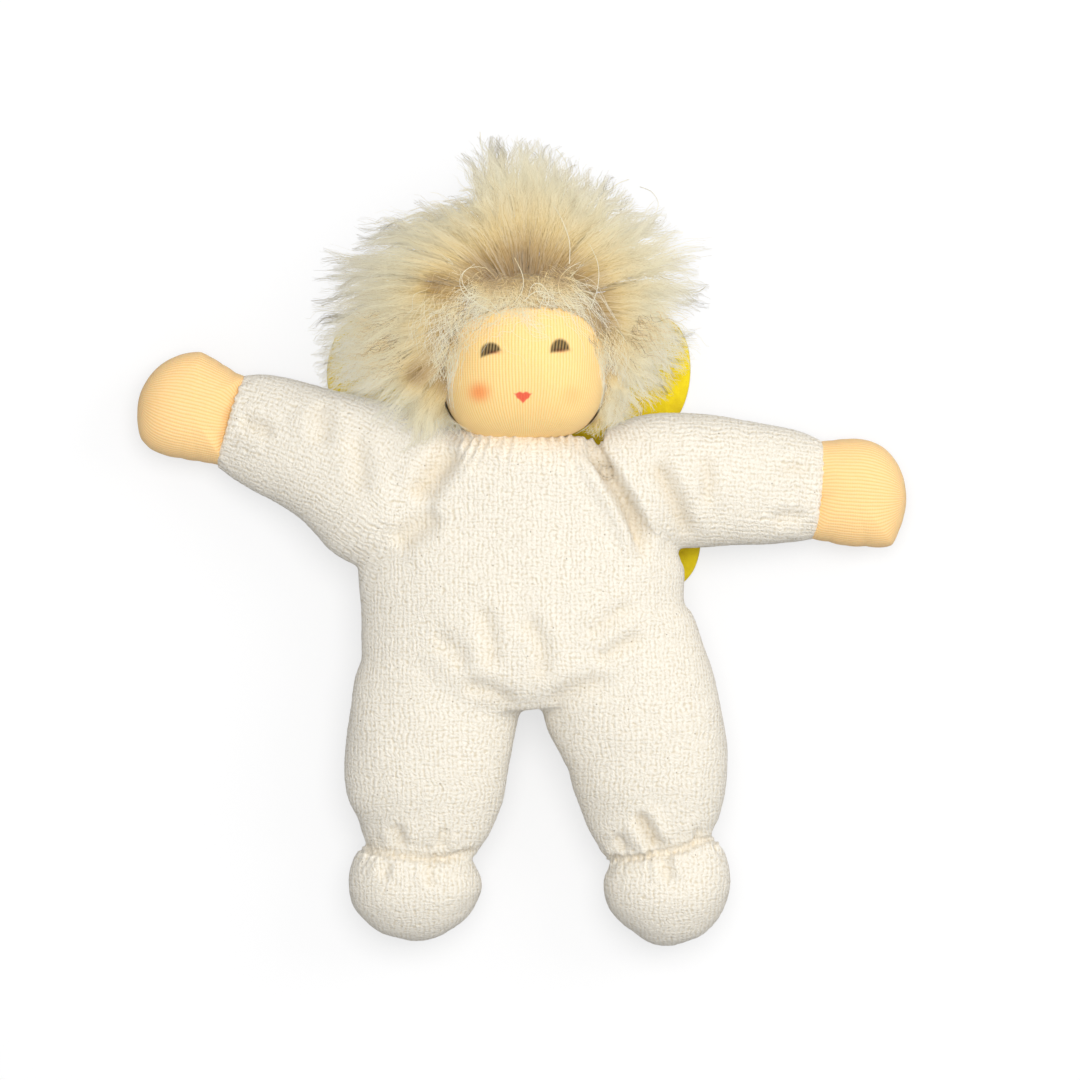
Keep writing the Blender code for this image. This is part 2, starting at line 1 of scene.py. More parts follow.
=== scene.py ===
# %% [markdown]
# # A soft doll lying on its back
# The doll is a terry suit stuffed with wool, with a jersey head and hands, a wig of
# long wool pile and a pair of yellow felt wings sewn to its back. It is looked at
# from straight above on a white sheet. All lengths are metres in the CAD's frame:
# +X is the doll's left, +Y its crown, +Z its front. The outlines below are read in
# pixels of the picture, at 0.36 mm each, so that every piece can be compared.

# %% Frame and scale
import math

import bmesh
import bpy
import numpy as np
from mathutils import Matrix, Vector, noise


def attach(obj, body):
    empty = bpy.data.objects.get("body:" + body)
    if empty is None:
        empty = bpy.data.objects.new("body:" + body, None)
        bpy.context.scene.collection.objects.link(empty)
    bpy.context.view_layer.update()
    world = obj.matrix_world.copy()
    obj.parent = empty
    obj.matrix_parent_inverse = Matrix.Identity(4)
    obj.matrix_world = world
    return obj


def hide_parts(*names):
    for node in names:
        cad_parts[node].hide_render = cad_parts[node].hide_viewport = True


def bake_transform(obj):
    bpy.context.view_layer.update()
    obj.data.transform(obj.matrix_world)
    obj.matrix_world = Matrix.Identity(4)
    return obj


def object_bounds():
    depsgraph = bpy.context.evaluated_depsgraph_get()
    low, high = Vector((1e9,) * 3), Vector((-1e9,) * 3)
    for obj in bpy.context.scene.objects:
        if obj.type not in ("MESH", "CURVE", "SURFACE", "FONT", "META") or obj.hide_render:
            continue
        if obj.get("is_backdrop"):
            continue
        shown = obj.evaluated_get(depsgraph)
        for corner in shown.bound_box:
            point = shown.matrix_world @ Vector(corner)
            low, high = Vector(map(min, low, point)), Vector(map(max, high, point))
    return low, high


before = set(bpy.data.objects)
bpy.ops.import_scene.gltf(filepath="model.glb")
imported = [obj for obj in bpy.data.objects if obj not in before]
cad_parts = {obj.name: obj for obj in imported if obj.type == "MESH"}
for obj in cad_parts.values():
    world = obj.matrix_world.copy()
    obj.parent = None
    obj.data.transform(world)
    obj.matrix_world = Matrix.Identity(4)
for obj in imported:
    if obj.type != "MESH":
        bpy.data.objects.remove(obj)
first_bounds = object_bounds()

# A pixel of the picture in metres, and the pixel that lies over the CAD's origin
PX = 0.00036
OX, OY = 523.0, 590.0
MM = 0.001


def at(px, py):
    """Metres from a pixel of the picture."""
    return ((px - OX) * PX, (OY - py) * PX)


print("bounds of the CAD in mm:", [[round(v * 1000, 1) for v in row] for row in first_bounds])

# %% [markdown]
# ## Meshes from arrays
# A stuffed doll could be sculpted by hand or grown from metaballs. Here its points are
# worked out as arrays instead, because then each swell and fold is a formula that can
# be changed and run again. These helpers hand such arrays to Blender and fetch them
# back, which is far quicker than adding points one by one.

# %% Mesh helpers
def mesh_object(name, verts, faces, material=None):
    """A new smooth object from arrays of points and of faces with equally many corners."""
    mesh = bpy.data.meshes.new(name)
    verts = np.asarray(verts, np.float32).reshape(-1, 3)
    faces = np.asarray(faces, np.int32)
    sides = faces.shape[1]
    mesh.vertices.add(len(verts))
    mesh.vertices.foreach_set("co", verts.ravel())
    mesh.loops.add(faces.size)
    mesh.loops.foreach_set("vertex_index", faces.ravel())
    mesh.polygons.add(len(faces))
    mesh.polygons.foreach_set("loop_start", np.arange(0, faces.size, sides, dtype=np.int32))
    mesh.polygons.foreach_set("use_smooth", np.ones(len(faces), bool))
    mesh.update(calc_edges=True)
    mesh.validate()
    item = bpy.data.objects.new(name, mesh)
    bpy.context.collection.objects.link(item)
    if material is not None:
        mesh.materials.append(material)
    return item


def points_of(item):
    """An object's points as rows of x, y and z."""
    co = np.empty(len(item.data.vertices) * 3, np.float32)
    item.data.vertices.foreach_get("co", co)
    return co.reshape(-1, 3).astype(float)


def put_points(item, co):
    """Moves an object's points to the rows given."""
    item.data.vertices.foreach_set("co", np.asarray(co, np.float32).ravel())
    item.data.update()


def put_attribute(item, name, values, kind="FLOAT"):
    """Stores one value or vector at each point, for a material to read."""
    layer = item.data.attributes.new(name, kind, "POINT")
    key = "value" if kind == "FLOAT" else "vector"
    layer.data.foreach_set(key, np.asarray(values, np.float32).ravel())


# %% [markdown]
# ## Cloth and wool as materials
# The suit is looped cotton terry, the skin fine ribbed jersey, the wig wool pile and
# the wings brushed felt. Pictures of cloth would repeat and show seams. So each
# material is a tree of nodes with waves, noise and cell patterns, in coordinates that
# run with the cloth. A few short helpers keep such a tree readable: each adds one node
# and gives back the socket that the next one takes.

# %% Material helpers
def material(name, roughness=0.9, sheen=0.0):
    """A new material, its tree, its shader and a short way to add a node to it."""
    made = bpy.data.materials.new(name)
    made.use_nodes = True
    tree = made.node_tree
    shader = tree.nodes["Principled BSDF"]
    shader.inputs["Roughness"].default_value = roughness
    shader.inputs["Specular IOR Level"].default_value = 0.15
    shader.inputs["Sheen Weight"].default_value = sheen

    def add(kind, settings=None, **sockets):
        node = tree.nodes.new(kind)
        for key, value in (settings or {}).items():
            setattr(node, key, value)
        for key, value in sockets.items():
            index = int(key[1:]) if key[1:].isdigit() else key.replace("_", " ")
            socket = node.inputs[index]
            if isinstance(value, bpy.types.NodeSocket):
                tree.links.new(value, socket)
            else:
                socket.default_value = value
        return node

    return made, tree, shader, add


def attribute(add, name):
    """A value stored at the points."""
    return add("ShaderNodeAttribute", {"attribute_name": name}).outputs["Fac"]


def maths(add, operation, first, second=0.5):
    """Two values added, multiplied or otherwise joined."""
    return add("ShaderNodeMath", {"operation": operation}, s0=first, s1=second).outputs[0]


def mixed(add, share, first, second):
    """The first colour, turned into the second by a share."""
    return add("ShaderNodeMix", {"data_type": "RGBA"}, s0=share, s6=first, s7=second).outputs[2]


def ramp(add, share, *stops):
    """A colour that runs through the stops as the share rises."""
    node = add("ShaderNodeValToRGB", s0=share)
    line = node.color_ramp
    while len(line.elements) < len(stops):
        line.elements.new(0.5)
    for item, (place, colour) in zip(line.elements, stops):
        item.position = place
        item.color = colour if len(colour) == 4 else (*colour, 1)
    return node.outputs[0]


def rgb(r, g, b):
    """A linear colour from the picture's 0 to 255 values."""
    return tuple(((v / 255 + 0.055) / 1.055) ** 2.4 if v > 10 else v / 255 / 12.92
                 for v in (r, g, b)) + (1.0,)


print("cream as a linear colour:", [round(v, 3) for v in rgb(246, 241, 230)])

# %% [markdown]
# ## Terry
# Terry is knitted with a small loop left standing at every stitch. Loops of real
# geometry would take millions of faces. A cell pattern does instead: each cell is the
# dome of one loop, a finer turned pattern is its twisted yarn, and a faint grid keeps
# the loops in columns and rows. One height makes both the relief and painted shade,
# darker in the gaps. Cotton also holds a few dark flecks of seed, and painted shade
# makes its folds a little darker and warmer.

# %% Terry
# How far apart the columns and rows of loops are, in mm
LOOP_COLUMN, LOOP_ROW = 1.75, 1.55


def terry_material():
    """Looped cotton terry, in the millimetres of the Weave coordinates."""
    made, tree, shader, add = material("terry", 0.95, 0.3)
    weave = add("ShaderNodeUVMap", {"uv_map": "Weave"}).outputs[0]
    wander = add("ShaderNodeTexNoise", Vector=weave, Scale=0.16, Detail=2.0)
    shift = add("ShaderNodeVectorMath", {"operation": "MULTIPLY_ADD"}, s0=wander.outputs["Color"],
                s1=(3.4, 3.4, 0), s2=weave).outputs[0]
    parts = add("ShaderNodeSeparateXYZ", Vector=shift)
    column = maths(add, "SINE", maths(add, "MULTIPLY", parts.outputs[0], 2 * math.pi / LOOP_COLUMN), 0.0)
    row = maths(add, "SINE", maths(add, "MULTIPLY", parts.outputs[1], 2 * math.pi / LOOP_ROW), 0.0)
    grid = maths(add, "ADD", maths(add, "MULTIPLY", column, 0.17), maths(add, "MULTIPLY", row, 0.09))
    loops = add("ShaderNodeTexVoronoi", {"voronoi_dimensions": "2D", "feature": "F1"}, Vector=shift,
                Scale=0.95, Randomness=0.85)
    turned = add("ShaderNodeMapping", Vector=shift, Rotation=(0, 0, 0.7), Scale=(1.0, 1.9, 1.0)).outputs[0]
    yarn = add("ShaderNodeTexVoronoi", {"voronoi_dimensions": "2D", "feature": "F1"}, Vector=turned,
               Scale=1.7, Randomness=1.0)
    blot = add("ShaderNodeTexNoise", Vector=weave, Scale=0.07, Detail=3.0).outputs["Fac"]
    grain = add("ShaderNodeTexNoise", Vector=weave, Scale=1.1, Detail=4.0, Roughness=0.7).outputs["Fac"]
    dome = maths(add, "MULTIPLY", maths(add, "SUBTRACT", 0.55, loops.outputs["Distance"]), 0.75)
    twist = maths(add, "MULTIPLY", maths(add, "SUBTRACT", 0.6, yarn.outputs["Distance"]), 0.35)
    height = maths(add, "ADD", maths(add, "ADD", dome, twist), maths(add, "ADD", grid, grain))
    # Painted shade: the gaps between the loops, low in the height, are coloured darker
    gap = ramp(add, height, (0.22, (0, 0, 0)), (0.62, (0.72, 0.72, 0.72)), (0.95, (1, 1, 1)))
    tone = mixed(add, gap, rgb(216, 203, 177), rgb(246, 241, 230))
    tone = mixed(add, maths(add, "MULTIPLY", blot, 0.45), tone, rgb(236, 229, 214))
    bits = add("ShaderNodeTexVoronoi", {"voronoi_dimensions": "2D"}, Vector=weave, Scale=0.055).outputs[0]
    fleck = ramp(add, bits, (0.010, (1, 1, 1)), (0.016, (0, 0, 0)))
    tone = mixed(add, maths(add, "MULTIPLY", fleck, 0.75), tone, rgb(120, 98, 66))
    # Painted shade: the colour turns darker and warmer in the valleys of the folds
    fold = attribute(add, "fold")
    tone = mixed(add, maths(add, "MULTIPLY", fold, 0.30), tone, rgb(205, 182, 140))
    tree.links.new(tone, shader.inputs["Base Color"])
    bump = add("ShaderNodeBump", Strength=0.6, Distance=0.0007, Height=height)
    tree.links.new(bump.outputs[0], shader.inputs["Normal"])
    return made


TERRY = terry_material()
print("material:", TERRY.name)

# %% [markdown]
# ## The suit
# The suit is cut from two pieces of terry, sewn round and turned, then filled with
# carded wool. A cloth simulation could blow such a pattern up, but it would not end
# in the shape of this doll. Stuffing swells each limb evenly, so each one is a rounded
# tube whose width is read from the outline and whose depth is about two thirds of it.

# %% Tubes that follow the outline
# Each row: middle x and y and half width in pixels, half depth and height in mm
TUBES = {
    "torso": ((530, 431, 60, 9, 26), (529, 440, 76, 15, 25.5), (528, 452, 94, 19.5, 25),
              (526, 468, 112, 21.5, 25), (525, 490, 128, 22.3, 24.7), (524, 515, 143, 22.6, 24.4),
              (522, 542, 155, 23.2, 24), (521, 570, 163, 23.8, 23.8), (522, 605, 162, 24.2, 23.8),
              (525, 640, 164, 24.2, 23.8), (532, 668, 172, 23.4, 23.4), (535, 690, 178, 22, 22.8),
              (537, 708, 170, 17, 22)),
    "sleeve_right": ((228, 419.5, 47, 12.8, 13), (243, 424, 53, 13.6, 14), (262, 430.5, 57, 14.6, 15.2),
                     (284, 439, 60.5, 15.8, 16.8), (306, 447.5, 63.5, 16.8, 18.4), (330, 458, 68, 17.8, 20),
                     (356, 471, 77, 18.8, 21.2), (384, 486, 84, 19.6, 22.4), (418, 496, 80, 19.4, 23),
                     (452, 500, 70, 18, 23.5)),
    "sleeve_left": ((823, 490, 47.5, 12.8, 13), (806, 488.5, 53.5, 13.6, 14), (786, 486.5, 57.5, 14.8, 15.4),
                    (762, 484.5, 60.5, 16, 17), (735, 482, 63.5, 17, 18.8), (705, 480.5, 66, 18, 20.4),
                    (672, 480, 68, 18.8, 21.8), (645, 482, 66, 19.4, 22.6), (612, 487, 58, 19.4, 23)),
    "leg_right": ((440, 668, 78, 21, 22.5), (437, 692, 84, 21.6, 22.2), (431, 728, 83.5, 21.8, 21.8),
                  (427, 760, 82.5, 21.4, 21.2), (425, 793, 79, 20.6, 20.4), (423.5, 818, 71, 18.6, 19.6),
                  (421, 836, 62.5, 16.8, 19), (419.5, 847, 56, 15, 18.6), (418.5, 855, 50, 13.4, 18.4),
                  (418, 864, 47, 12, 18.4)),
    "leg_left": ((620, 668, 82, 21, 22.5), (628.5, 695, 87, 21.6, 22.2), (638, 722, 84.5, 21.8, 21.8),
                 (646.5, 750, 81.5, 21.4, 21.2), (651, 783, 77.5, 20.6, 20.4), (654, 812, 69.5, 18.6, 19.6),
                 (657, 832, 62, 16.8, 19), (659.5, 843, 56, 15, 18.6), (662, 852, 49.5, 13.4, 18.4),
                 (664, 862, 46, 12, 18.4)),
    "foot_right": ((419, 843, 46, 12, 18.2), (418.5, 850, 49.5, 13.4, 18.2), (417.5, 858, 57, 15.6, 18.2),
                   (416, 868.5, 64, 17.8, 18.3), (415, 882, 67, 19, 18.6), (414.5, 897, 65.5, 18.8, 18.6),
                   (415, 912, 58.5, 17, 18.2), (415.5, 926, 45.5, 13.6, 17.8), (416, 936, 28, 9, 17.4),
                   (416, 941.5, 9, 4, 17)),
    "foot_left": ((660.5, 841, 46, 12, 18.2), (662, 848, 49.5, 13.4, 18.2), (664, 857, 56.5, 15.6, 18.2),
                  (666, 867.5, 61.5, 17.8, 18.3), (667, 882, 63.5, 19, 18.6), (667.5, 898, 61.5, 18.8, 18.6),
                  (668, 914, 54.5, 17, 18.2), (668, 929, 42, 13.6, 17.8), (667.5, 940, 26, 9, 17.4),
                  (667.5, 946.5, 9, 4, 17)),
}
print("stations of each tube:", {name: len(rows) for name, rows in TUBES.items()})

# %% Rings along a path
TUBE_SIDES, TUBE_RINGS = 56, 60


def spline(rows, count):
    """Catmull-Rom through the rows, evenly in row number."""
    rows = np.asarray(rows, float)
    last = len(rows) - 1
    t = np.linspace(0, last, count)
    i = np.clip(t.astype(int), 0, last - 1)
    f = (t - i)[:, None]
    a, b, c, d = (rows[np.clip(i + k, 0, last)] for k in (-1, 0, 1, 2))
    return 0.5 * (2 * b + (c - a) * f + (2 * a - 5 * b + 4 * c - d) * f ** 2
                  + (3 * b - a - 3 * c + d) * f ** 3)


def tube(rows, sides=TUBE_SIDES, rings=TUBE_RINGS, square=0.90):
    """Verts and quads of a closed tube whose rings stand across its path."""
    line = spline(rows, rings)
    x, y = at(line[:, 0], line[:, 1])
    path = np.stack((x, y), 1)
    along = np.gradient(path, axis=0)
    along /= np.linalg.norm(along, axis=1)[:, None]
    across = np.stack((-along[:, 1], along[:, 0]), 1)
    turn = 2 * np.pi * (np.arange(sides) + 0.5) / sides
    c, s = np.cos(turn), np.sin(turn)
    side = np.sign(c) * np.abs(c) ** square
    rise = np.sign(s) * np.abs(s) ** square
    flat = path[:, None, :] + across[:, None, :] * (side[None, :] * line[:, 2:3] * PX)[..., None]
    z = line[:, 4:5] * MM + rise[None, :] * line[:, 3:4] * MM
    verts = np.concatenate((flat, z[..., None]), 2).reshape(-1, 3)
    faces = []
    for r in range(rings - 1):
        for k in range(sides):
            n = (k + 1) % sides
            faces.append((r * sides + k, r * sides + n, (r + 1) * sides + n, (r + 1) * sides + k))
    return verts, faces


print("faces of a tube:", len(tube(TUBES["torso"])[1]))

# %% [markdown]
# The real cloth runs on from body to sleeve and leg without a step. A boolean would
# join the tubes with hard creases, so they are remeshed together with small voxels,
# smoothed, and divided once more: that leaves one even skin, fine enough for folds.

# %% One skin from the tubes
VOXEL = 1.15 * MM


def closed_tubes(tubes):
    """One mesh of several tubes with capped ends, facing out."""
    mesh = bmesh.new()
    for rows in tubes:
        verts, faces = tube(rows)
        made = [mesh.verts.new(v) for v in verts]
        for face in faces:
            mesh.faces.new([made[k] for k in face])
        mesh.faces.new(made[:TUBE_SIDES])
        mesh.faces.new(made[-TUBE_SIDES:])
    bmesh.ops.recalc_face_normals(mesh, faces=mesh.faces)
    data = bpy.data.meshes.new("suit")
    mesh.to_mesh(data)
    mesh.free()
    item = bpy.data.objects.new("suit", data)
    bpy.context.collection.objects.link(item)
    return item


def baked(item, *steps):
    """Adds modifiers given as (type, settings) and keeps their result."""
    for kind, settings in steps:
        step = item.modifiers.new(kind.lower(), kind)
        for key, value in settings.items():
            setattr(step, key, value)
    graph = bpy.context.evaluated_depsgraph_get()
    made = bpy.data.meshes.new_from_object(item.evaluated_get(graph))
    old = item.data
    item.modifiers.clear()
    item.data = made
    bpy.data.meshes.remove(old)


suit = closed_tubes(TUBES.values())
baked(suit, ("REMESH", {"mode": "VOXEL", "voxel_size": VOXEL, "adaptivity": 0.0}),
      ("SMOOTH", {"factor": 0.5, "iterations": 7}),
      ("SUBSURF", {"levels": 1, "render_levels": 1}))
print("suit skin:", len(suit.data.vertices), "points")

# %% [markdown]
# ## Folds and gathers
# In front, the cloth folds where the limbs leave the body and where the stuffing is
# thin. Sculpting or simulating could give folds, but not these ones in these places.
# So each fold is a listed line, and the skin sinks along it into a valley with
# a soft ridge on either side.

# %% Lines of the folds
# Each row: depth and half width in mm, ridge share, then points in pixels
FOLDS = (
    (4.6, 2.6, 0.55, (580, 438), (590, 450), (602, 466), (615, 488), (628, 510), (637, 530), (641, 548),
     (643, 566)),
    (2.6, 3.0, 0.50, (650, 455), (661, 476), (671, 495), (681, 520), (688, 546)),
    (1.5, 2.6, 0.40, (700, 452), (708, 480), (705, 510)),
    (3.0, 4.0, 0.45, (461, 444), (450, 456), (439, 470), (426, 487), (411, 503)),
    (1.9, 4.0, 0.40, (440, 510), (428, 521), (409, 535), (392, 548)),
    (1.2, 3.4, 0.40, (352, 430), (360, 452), (362, 476), (356, 500)),
    (1.3, 3.6, 0.40, (318, 400), (324, 424), (320, 450)),
    (1.2, 3.0, 0.45, (478, 600), (488, 625), (493, 650), (492, 676)),
    (1.3, 3.0, 0.45, (520, 612), (535, 630), (542, 650), (541, 688)),
    (1.3, 2.8, 0.45, (592, 662), (606, 654), (624, 644), (648, 633)),
    (1.1, 2.8, 0.45, (583, 640), (600, 627), (620, 612), (640, 602)),
    (1.0, 3.2, 0.40, (430, 632), (446, 642), (460, 656), (468, 672)),
    (1.5, 3.4, 0.40, (518, 706), (504, 697), (484, 688), (458, 683)),
    (1.3, 3.4, 0.40, (546, 705), (562, 694), (584, 684), (610, 678)),
    (1.4, 2.2, 0.50, (403, 848), (400, 836), (394, 822)),
    (1.2, 2.0, 0.50, (441, 848), (443, 836), (449, 826)),
    (2.6, 2.2, 0.60, (659, 850), (652, 838), (643, 822), (634, 810)),
    (1.4, 1.8, 0.50, (626, 852), (621, 842), (613, 834)),
    (1.2, 1.8, 0.50, (694, 846), (697, 834), (700, 826)),
    (1.6, 2.0, 0.50, (662, 853), (666, 866), (668, 882)),
    (1.2, 2.0, 0.50, (430, 858), (431, 872), (431, 888)),
    (1.0, 2.0, 0.50, (390, 858), (386, 868), (384, 880)),
    (1.6, 1.3, 0.30, (352, 843), (363, 846), (373, 850), (406, 855), (441, 858), (464, 853), (478, 850)),
    (1.6, 1.3, 0.30, (600, 855), (609, 857), (631, 858), (652, 853), (678, 849), (696, 842), (716, 838)),
    (1.4, 3.0, 0.40, (238, 420), (256, 426), (276, 436)),
    (1.2, 2.6, 0.40, (812, 470), (796, 468), (778, 472)),
    (1.1, 2.6, 0.40, (808, 520), (790, 517), (768, 522)),
)
print("folds:", len(FOLDS))


# %% Valleys and ridges
def near_line(xy, line):
    """Distance to a line of points, and the share of its length at the nearest one."""
    line = np.asarray(line, float)
    best = np.full(len(xy), 1e9)
    share = np.zeros(len(xy))
    run = np.concatenate(([0], np.cumsum(np.linalg.norm(np.diff(line, axis=0), axis=1))))
    for k in range(len(line) - 1):
        a, d = line[k], line[k + 1] - line[k]
        t = np.clip(((xy - a) @ d) / (d @ d), 0, 1)
        gap = np.linalg.norm(xy - a - t[:, None] * d, axis=1)
        hit = gap < best
        best[hit] = gap[hit]
        share[hit] = ((run[k] + t * np.linalg.norm(d)) / run[-1])[hit]
    return best, share


def normals_of(item):
    """The direction out of the surface at each point."""
    no = np.empty(len(item.data.vertices) * 3, np.float32)
    item.data.vertices.foreach_get("normal", no)
    return no.reshape(-1, 3).astype(float)


def smooth(x, low=0.0, high=1.0):
    """A soft step from 0 at low to 1 at high."""
    t = np.clip((np.asarray(x, float) - low) / (high - low), 0, 1)
    return t * t * (3 - 2 * t)


co, no = points_of(suit), normals_of(suit)
px = np.stack((co[:, 0] / PX + OX, OY - co[:, 1] / PX), 1)
front = smooth(no[:, 2], 0.05, 0.45)
sink = np.zeros(len(co))
# How deep each point lies in a fold's valley, kept for the painted shade of the folds
fold = np.zeros(len(co))
for depth, width, ridge, *line in FOLDS:
    gap, share = near_line(px, spline(line, 24))
    gap = gap * PX / MM
    ends = 0.05 if width < 1.5 else 0.22
    fade = smooth(share, 0.0, ends) * (1 - smooth(share, 1 - ends * 1.2, 1.0))
    valley = np.exp(-(gap / width) ** 2)
    ridges = ridge * np.exp(-((gap - 2.0 * width) / (1.1 * width)) ** 2)
    sink += depth * fade * (valley - ridges)
    fold = np.maximum(fold, valley * fade * min(1.0, depth / 3.0))
print("deepest fold in mm:", round(float(sink.max()), 2))

# %% [markdown]
# A thread draws the cloth in at the neck, the wrists and the ankles, and there it
# stands in ripples. A plain wave would look machine made. Five waves of nearly the
# same length beat against each other, so the ripples come out uneven, as by hand.

# %% Gathers at neck, wrists and ankles
def gathers(centre, across, along, half_width, reach, pitch, height, seed):
    """Ripples across a drawn-in edge, of uneven size, that fade along the cloth."""
    rel = px - np.asarray(centre, float)
    s, d = rel @ np.asarray(across, float), rel @ np.asarray(along, float)
    order = np.random.default_rng(seed)
    wave = np.zeros(len(px))
    for k in range(5):
        pull = 1 + 0.12 * (k - 2)
        spread = 1 + 0.25 * np.abs(d) / reach
        wave += np.cos(2 * np.pi * s * pull / pitch / spread + order.uniform(0, 6.3)) / 3
    fade = np.exp(-np.abs(d) / reach * 1.6) * (1 - smooth(np.abs(s), half_width * 0.9, half_width * 1.1))
    return height * wave * fade


# Each row: middle, way across and way along in pixels, half width, reach and pitch in
# pixels, height in mm, and the seed of its chance
GATHERS = (
    ((530, 440), (1, 0), (0, 1), 74, 24, 9.5, 0.9, 3),
    ((419, 854), (1, 0.02), (0, 1), 60, 17, 8.0, 0.75, 5),
    ((661, 852), (1, -0.11), (0.11, 1), 60, 17, 8.0, 0.75, 7),
    ((230, 420), (-0.24, 0.97), (0.97, 0.24), 52, 12, 9.0, 0.35, 9),
    ((821, 490), (0.07, 1), (-1, 0.07), 52, 12, 9.0, 0.35, 11),
)
ripple = sum(gathers(*row) for row in GATHERS)
print("ripples in mm:", round(float(ripple.min()), 2), "to", round(float(ripple.max()), 2))

# %% [markdown]
# Wool fills a suit unevenly and terry is never flat, so two sizes of noise move the
# skin a little in and out. Last, the floor holds the back up: a soft limit on the
# height flattens it there, as the doll's own weight does.

# %% Moving the skin
# How many lumps and crinkles come to a metre, and how high they are in mm
LUMPS, LUMP_RISE = 55, 0.7
CRINKLES, CRINKLE_RISE = 620, 0.16
REST_SOFTNESS, REST_GAP = 0.9 * MM, 0.15 * MM
lumps = np.array([noise.noise(Vector((x * LUMPS, y * LUMPS, z * LUMPS))) for x, y, z in co])
crinkles = np.array([noise.noise(Vector((x * CRINKLES, y * CRINKLES, z * CRINKLES + 5)))
                     for x, y, z in co])
move = -sink * front + ripple * smooth(no[:, 2], -0.4, 0.2) + lumps * LUMP_RISE + crinkles * CRINKLE_RISE
co = co + no * (move * MM)[:, None]
co[:, 2] = 0.5 * (co[:, 2] + np.sqrt(co[:, 2] ** 2 + REST_SOFTNESS * REST_SOFTNESS)) + REST_GAP
put_points(suit, co)
print("skin moved by up to", round(float(np.abs(move).max()), 2), "mm")

# %% [markdown]
# ## The weave
# Terry is knitted in straight rows, so its loops line up along each limb. Unwrapping
# the skin would stretch them at random. Instead the cloth's own coordinates are
# measured in millimetres across and along each tube, round the curve of its side,
# and the loops are laid out on them.

# %% Weave coordinates
def arc_table(ratio):
    """The angle round a flattened ring, and the length of its edge up to there."""
    turn = np.linspace(0, np.pi, 400)
    step = np.sqrt(np.cos(turn) ** 2 + (ratio * np.sin(turn)) ** 2)
    return turn, np.concatenate(([0], np.cumsum((step[1:] + step[:-1]) / 2 * np.diff(turn))))


def weave_on(rows, verts, offset):
    """Millimetres across and along one tube, for each point."""
    line = spline(rows, 60)
    x, y = at(line[:, 0], line[:, 1])
    path = np.stack((x, y), 1)
    gap, share = near_line(verts[:, :2], path)
    run = np.linalg.norm(np.diff(path, axis=0), axis=1).sum()
    row = np.clip((share * 59).astype(int), 0, 59)
    along = np.gradient(path, axis=0)
    along /= np.linalg.norm(along, axis=1)[:, None]
    across = np.stack((-along[:, 1], along[:, 0]), 1)[row]
    side = ((verts[:, :2] - path[row]) * across).sum(1)
    wide, deep, z = (line[row, k] * s for k, s in ((2, PX), (3, MM), (4, MM)))
    turn = np.arctan2(np.abs(side) / wide, (verts[:, 2] - z) / deep)
    widest = line[:, 2].max() * PX
    turns, arcs = arc_table(0.45)
    extra = np.interp(turn, turns, arcs) - np.sin(np.minimum(turn, np.pi))
    u = side + np.sign(side) * extra * widest
    return np.stack((u / MM + offset, share * run / MM), 1)


print("half way round a limb:", round(float(arc_table(0.45)[1][-1]), 2), "half widths")

# %% Zones of the skin
# The hip line, the midline and the ankles that part the suit; the left ankle slopes
HIP, MIDLINE = -0.0385, 0.0033
ANKLE_RIGHT, ANKLE_LEFT, ANKLE_SLOPE = at(0, 849)[1], at(0, 847)[1], 0.11


def region_of(xy):
    """0 body, 1 and 2 sleeves, 3 and 4 legs, 5 and 6 feet; right before left."""
    x, y = xy[:, 0], xy[:, 1]
    out = np.zeros(len(xy), int)
    out[(-x * 0.934 + y * 0.358 > 0.0503) & (y > -0.012)] = 1
    out[((x - 0.0505) * 0.961 + (y - 0.0395) * 0.276 > 0) & (y > 0.0120)] = 2
    out[(y < HIP) & (x < MIDLINE)] = 3
    out[(y < HIP) & (x >= MIDLINE)] = 4
    out[(y < ANKLE_RIGHT) & (x < MIDLINE)] = 5
    out[(y < ANKLE_LEFT + ANKLE_SLOPE * (x - at(661, 0)[0])) & (x >= MIDLINE)] = 6
    return out


NAMES = ("torso", "sleeve_right", "sleeve_left", "leg_right", "leg_left", "foot_right", "foot_left")
count = len(suit.data.polygons)
corner = np.empty(count * 4, np.int32)
suit.data.loops.foreach_get("vertex_index", corner)
quads = corner.reshape(-1, 4)
middle = co[quads].mean(1)
zone = region_of(middle)
print("faces in each zone:", dict(zip(NAMES, np.bincount(zone, minlength=7).tolist())))

# %% Weave of each zone
# Body and legs share straight columns, so that the loops run on across the hips
body = weave_on(((523, 300, 165, 24, 24), (523, 1080, 165, 24, 24)), co, 0.0)[:, 0]
weaves = [np.stack((body, co[:, 1] / MM), 1)]
weaves += [weave_on(TUBES[name], co, 150.0) for name in NAMES[1:3]]
TOE_REACH, SOLE_HEIGHT = 19.0, 18.3
for name in NAMES[3:]:
    rows = np.asarray(TUBES[name], float)
    x, y = at(np.interp(px[:, 1], rows[:, 1], rows[:, 0]), rows[:, 1].max())
    side = co[:, 0] - x
    around = weave_on(TUBES[name], co, 0.0)[:, 0]
    u = x / MM + np.sign(side) * np.abs(around)
    v = co[:, 1] / MM
    if name.startswith("foot"):
        start = at(0, 892)[1] / MM
        height = np.maximum(co[:, 2] / MM - SOLE_HEIGHT, -18) / TOE_REACH
        round_toe = start - TOE_REACH * np.arctan2((start - v) / TOE_REACH, height)
        v = np.where(v < start, round_toe, v)
    weaves.append(np.stack((u, v), 1))
print("weaves:", len(weaves), "for", len(NAMES), "zones")
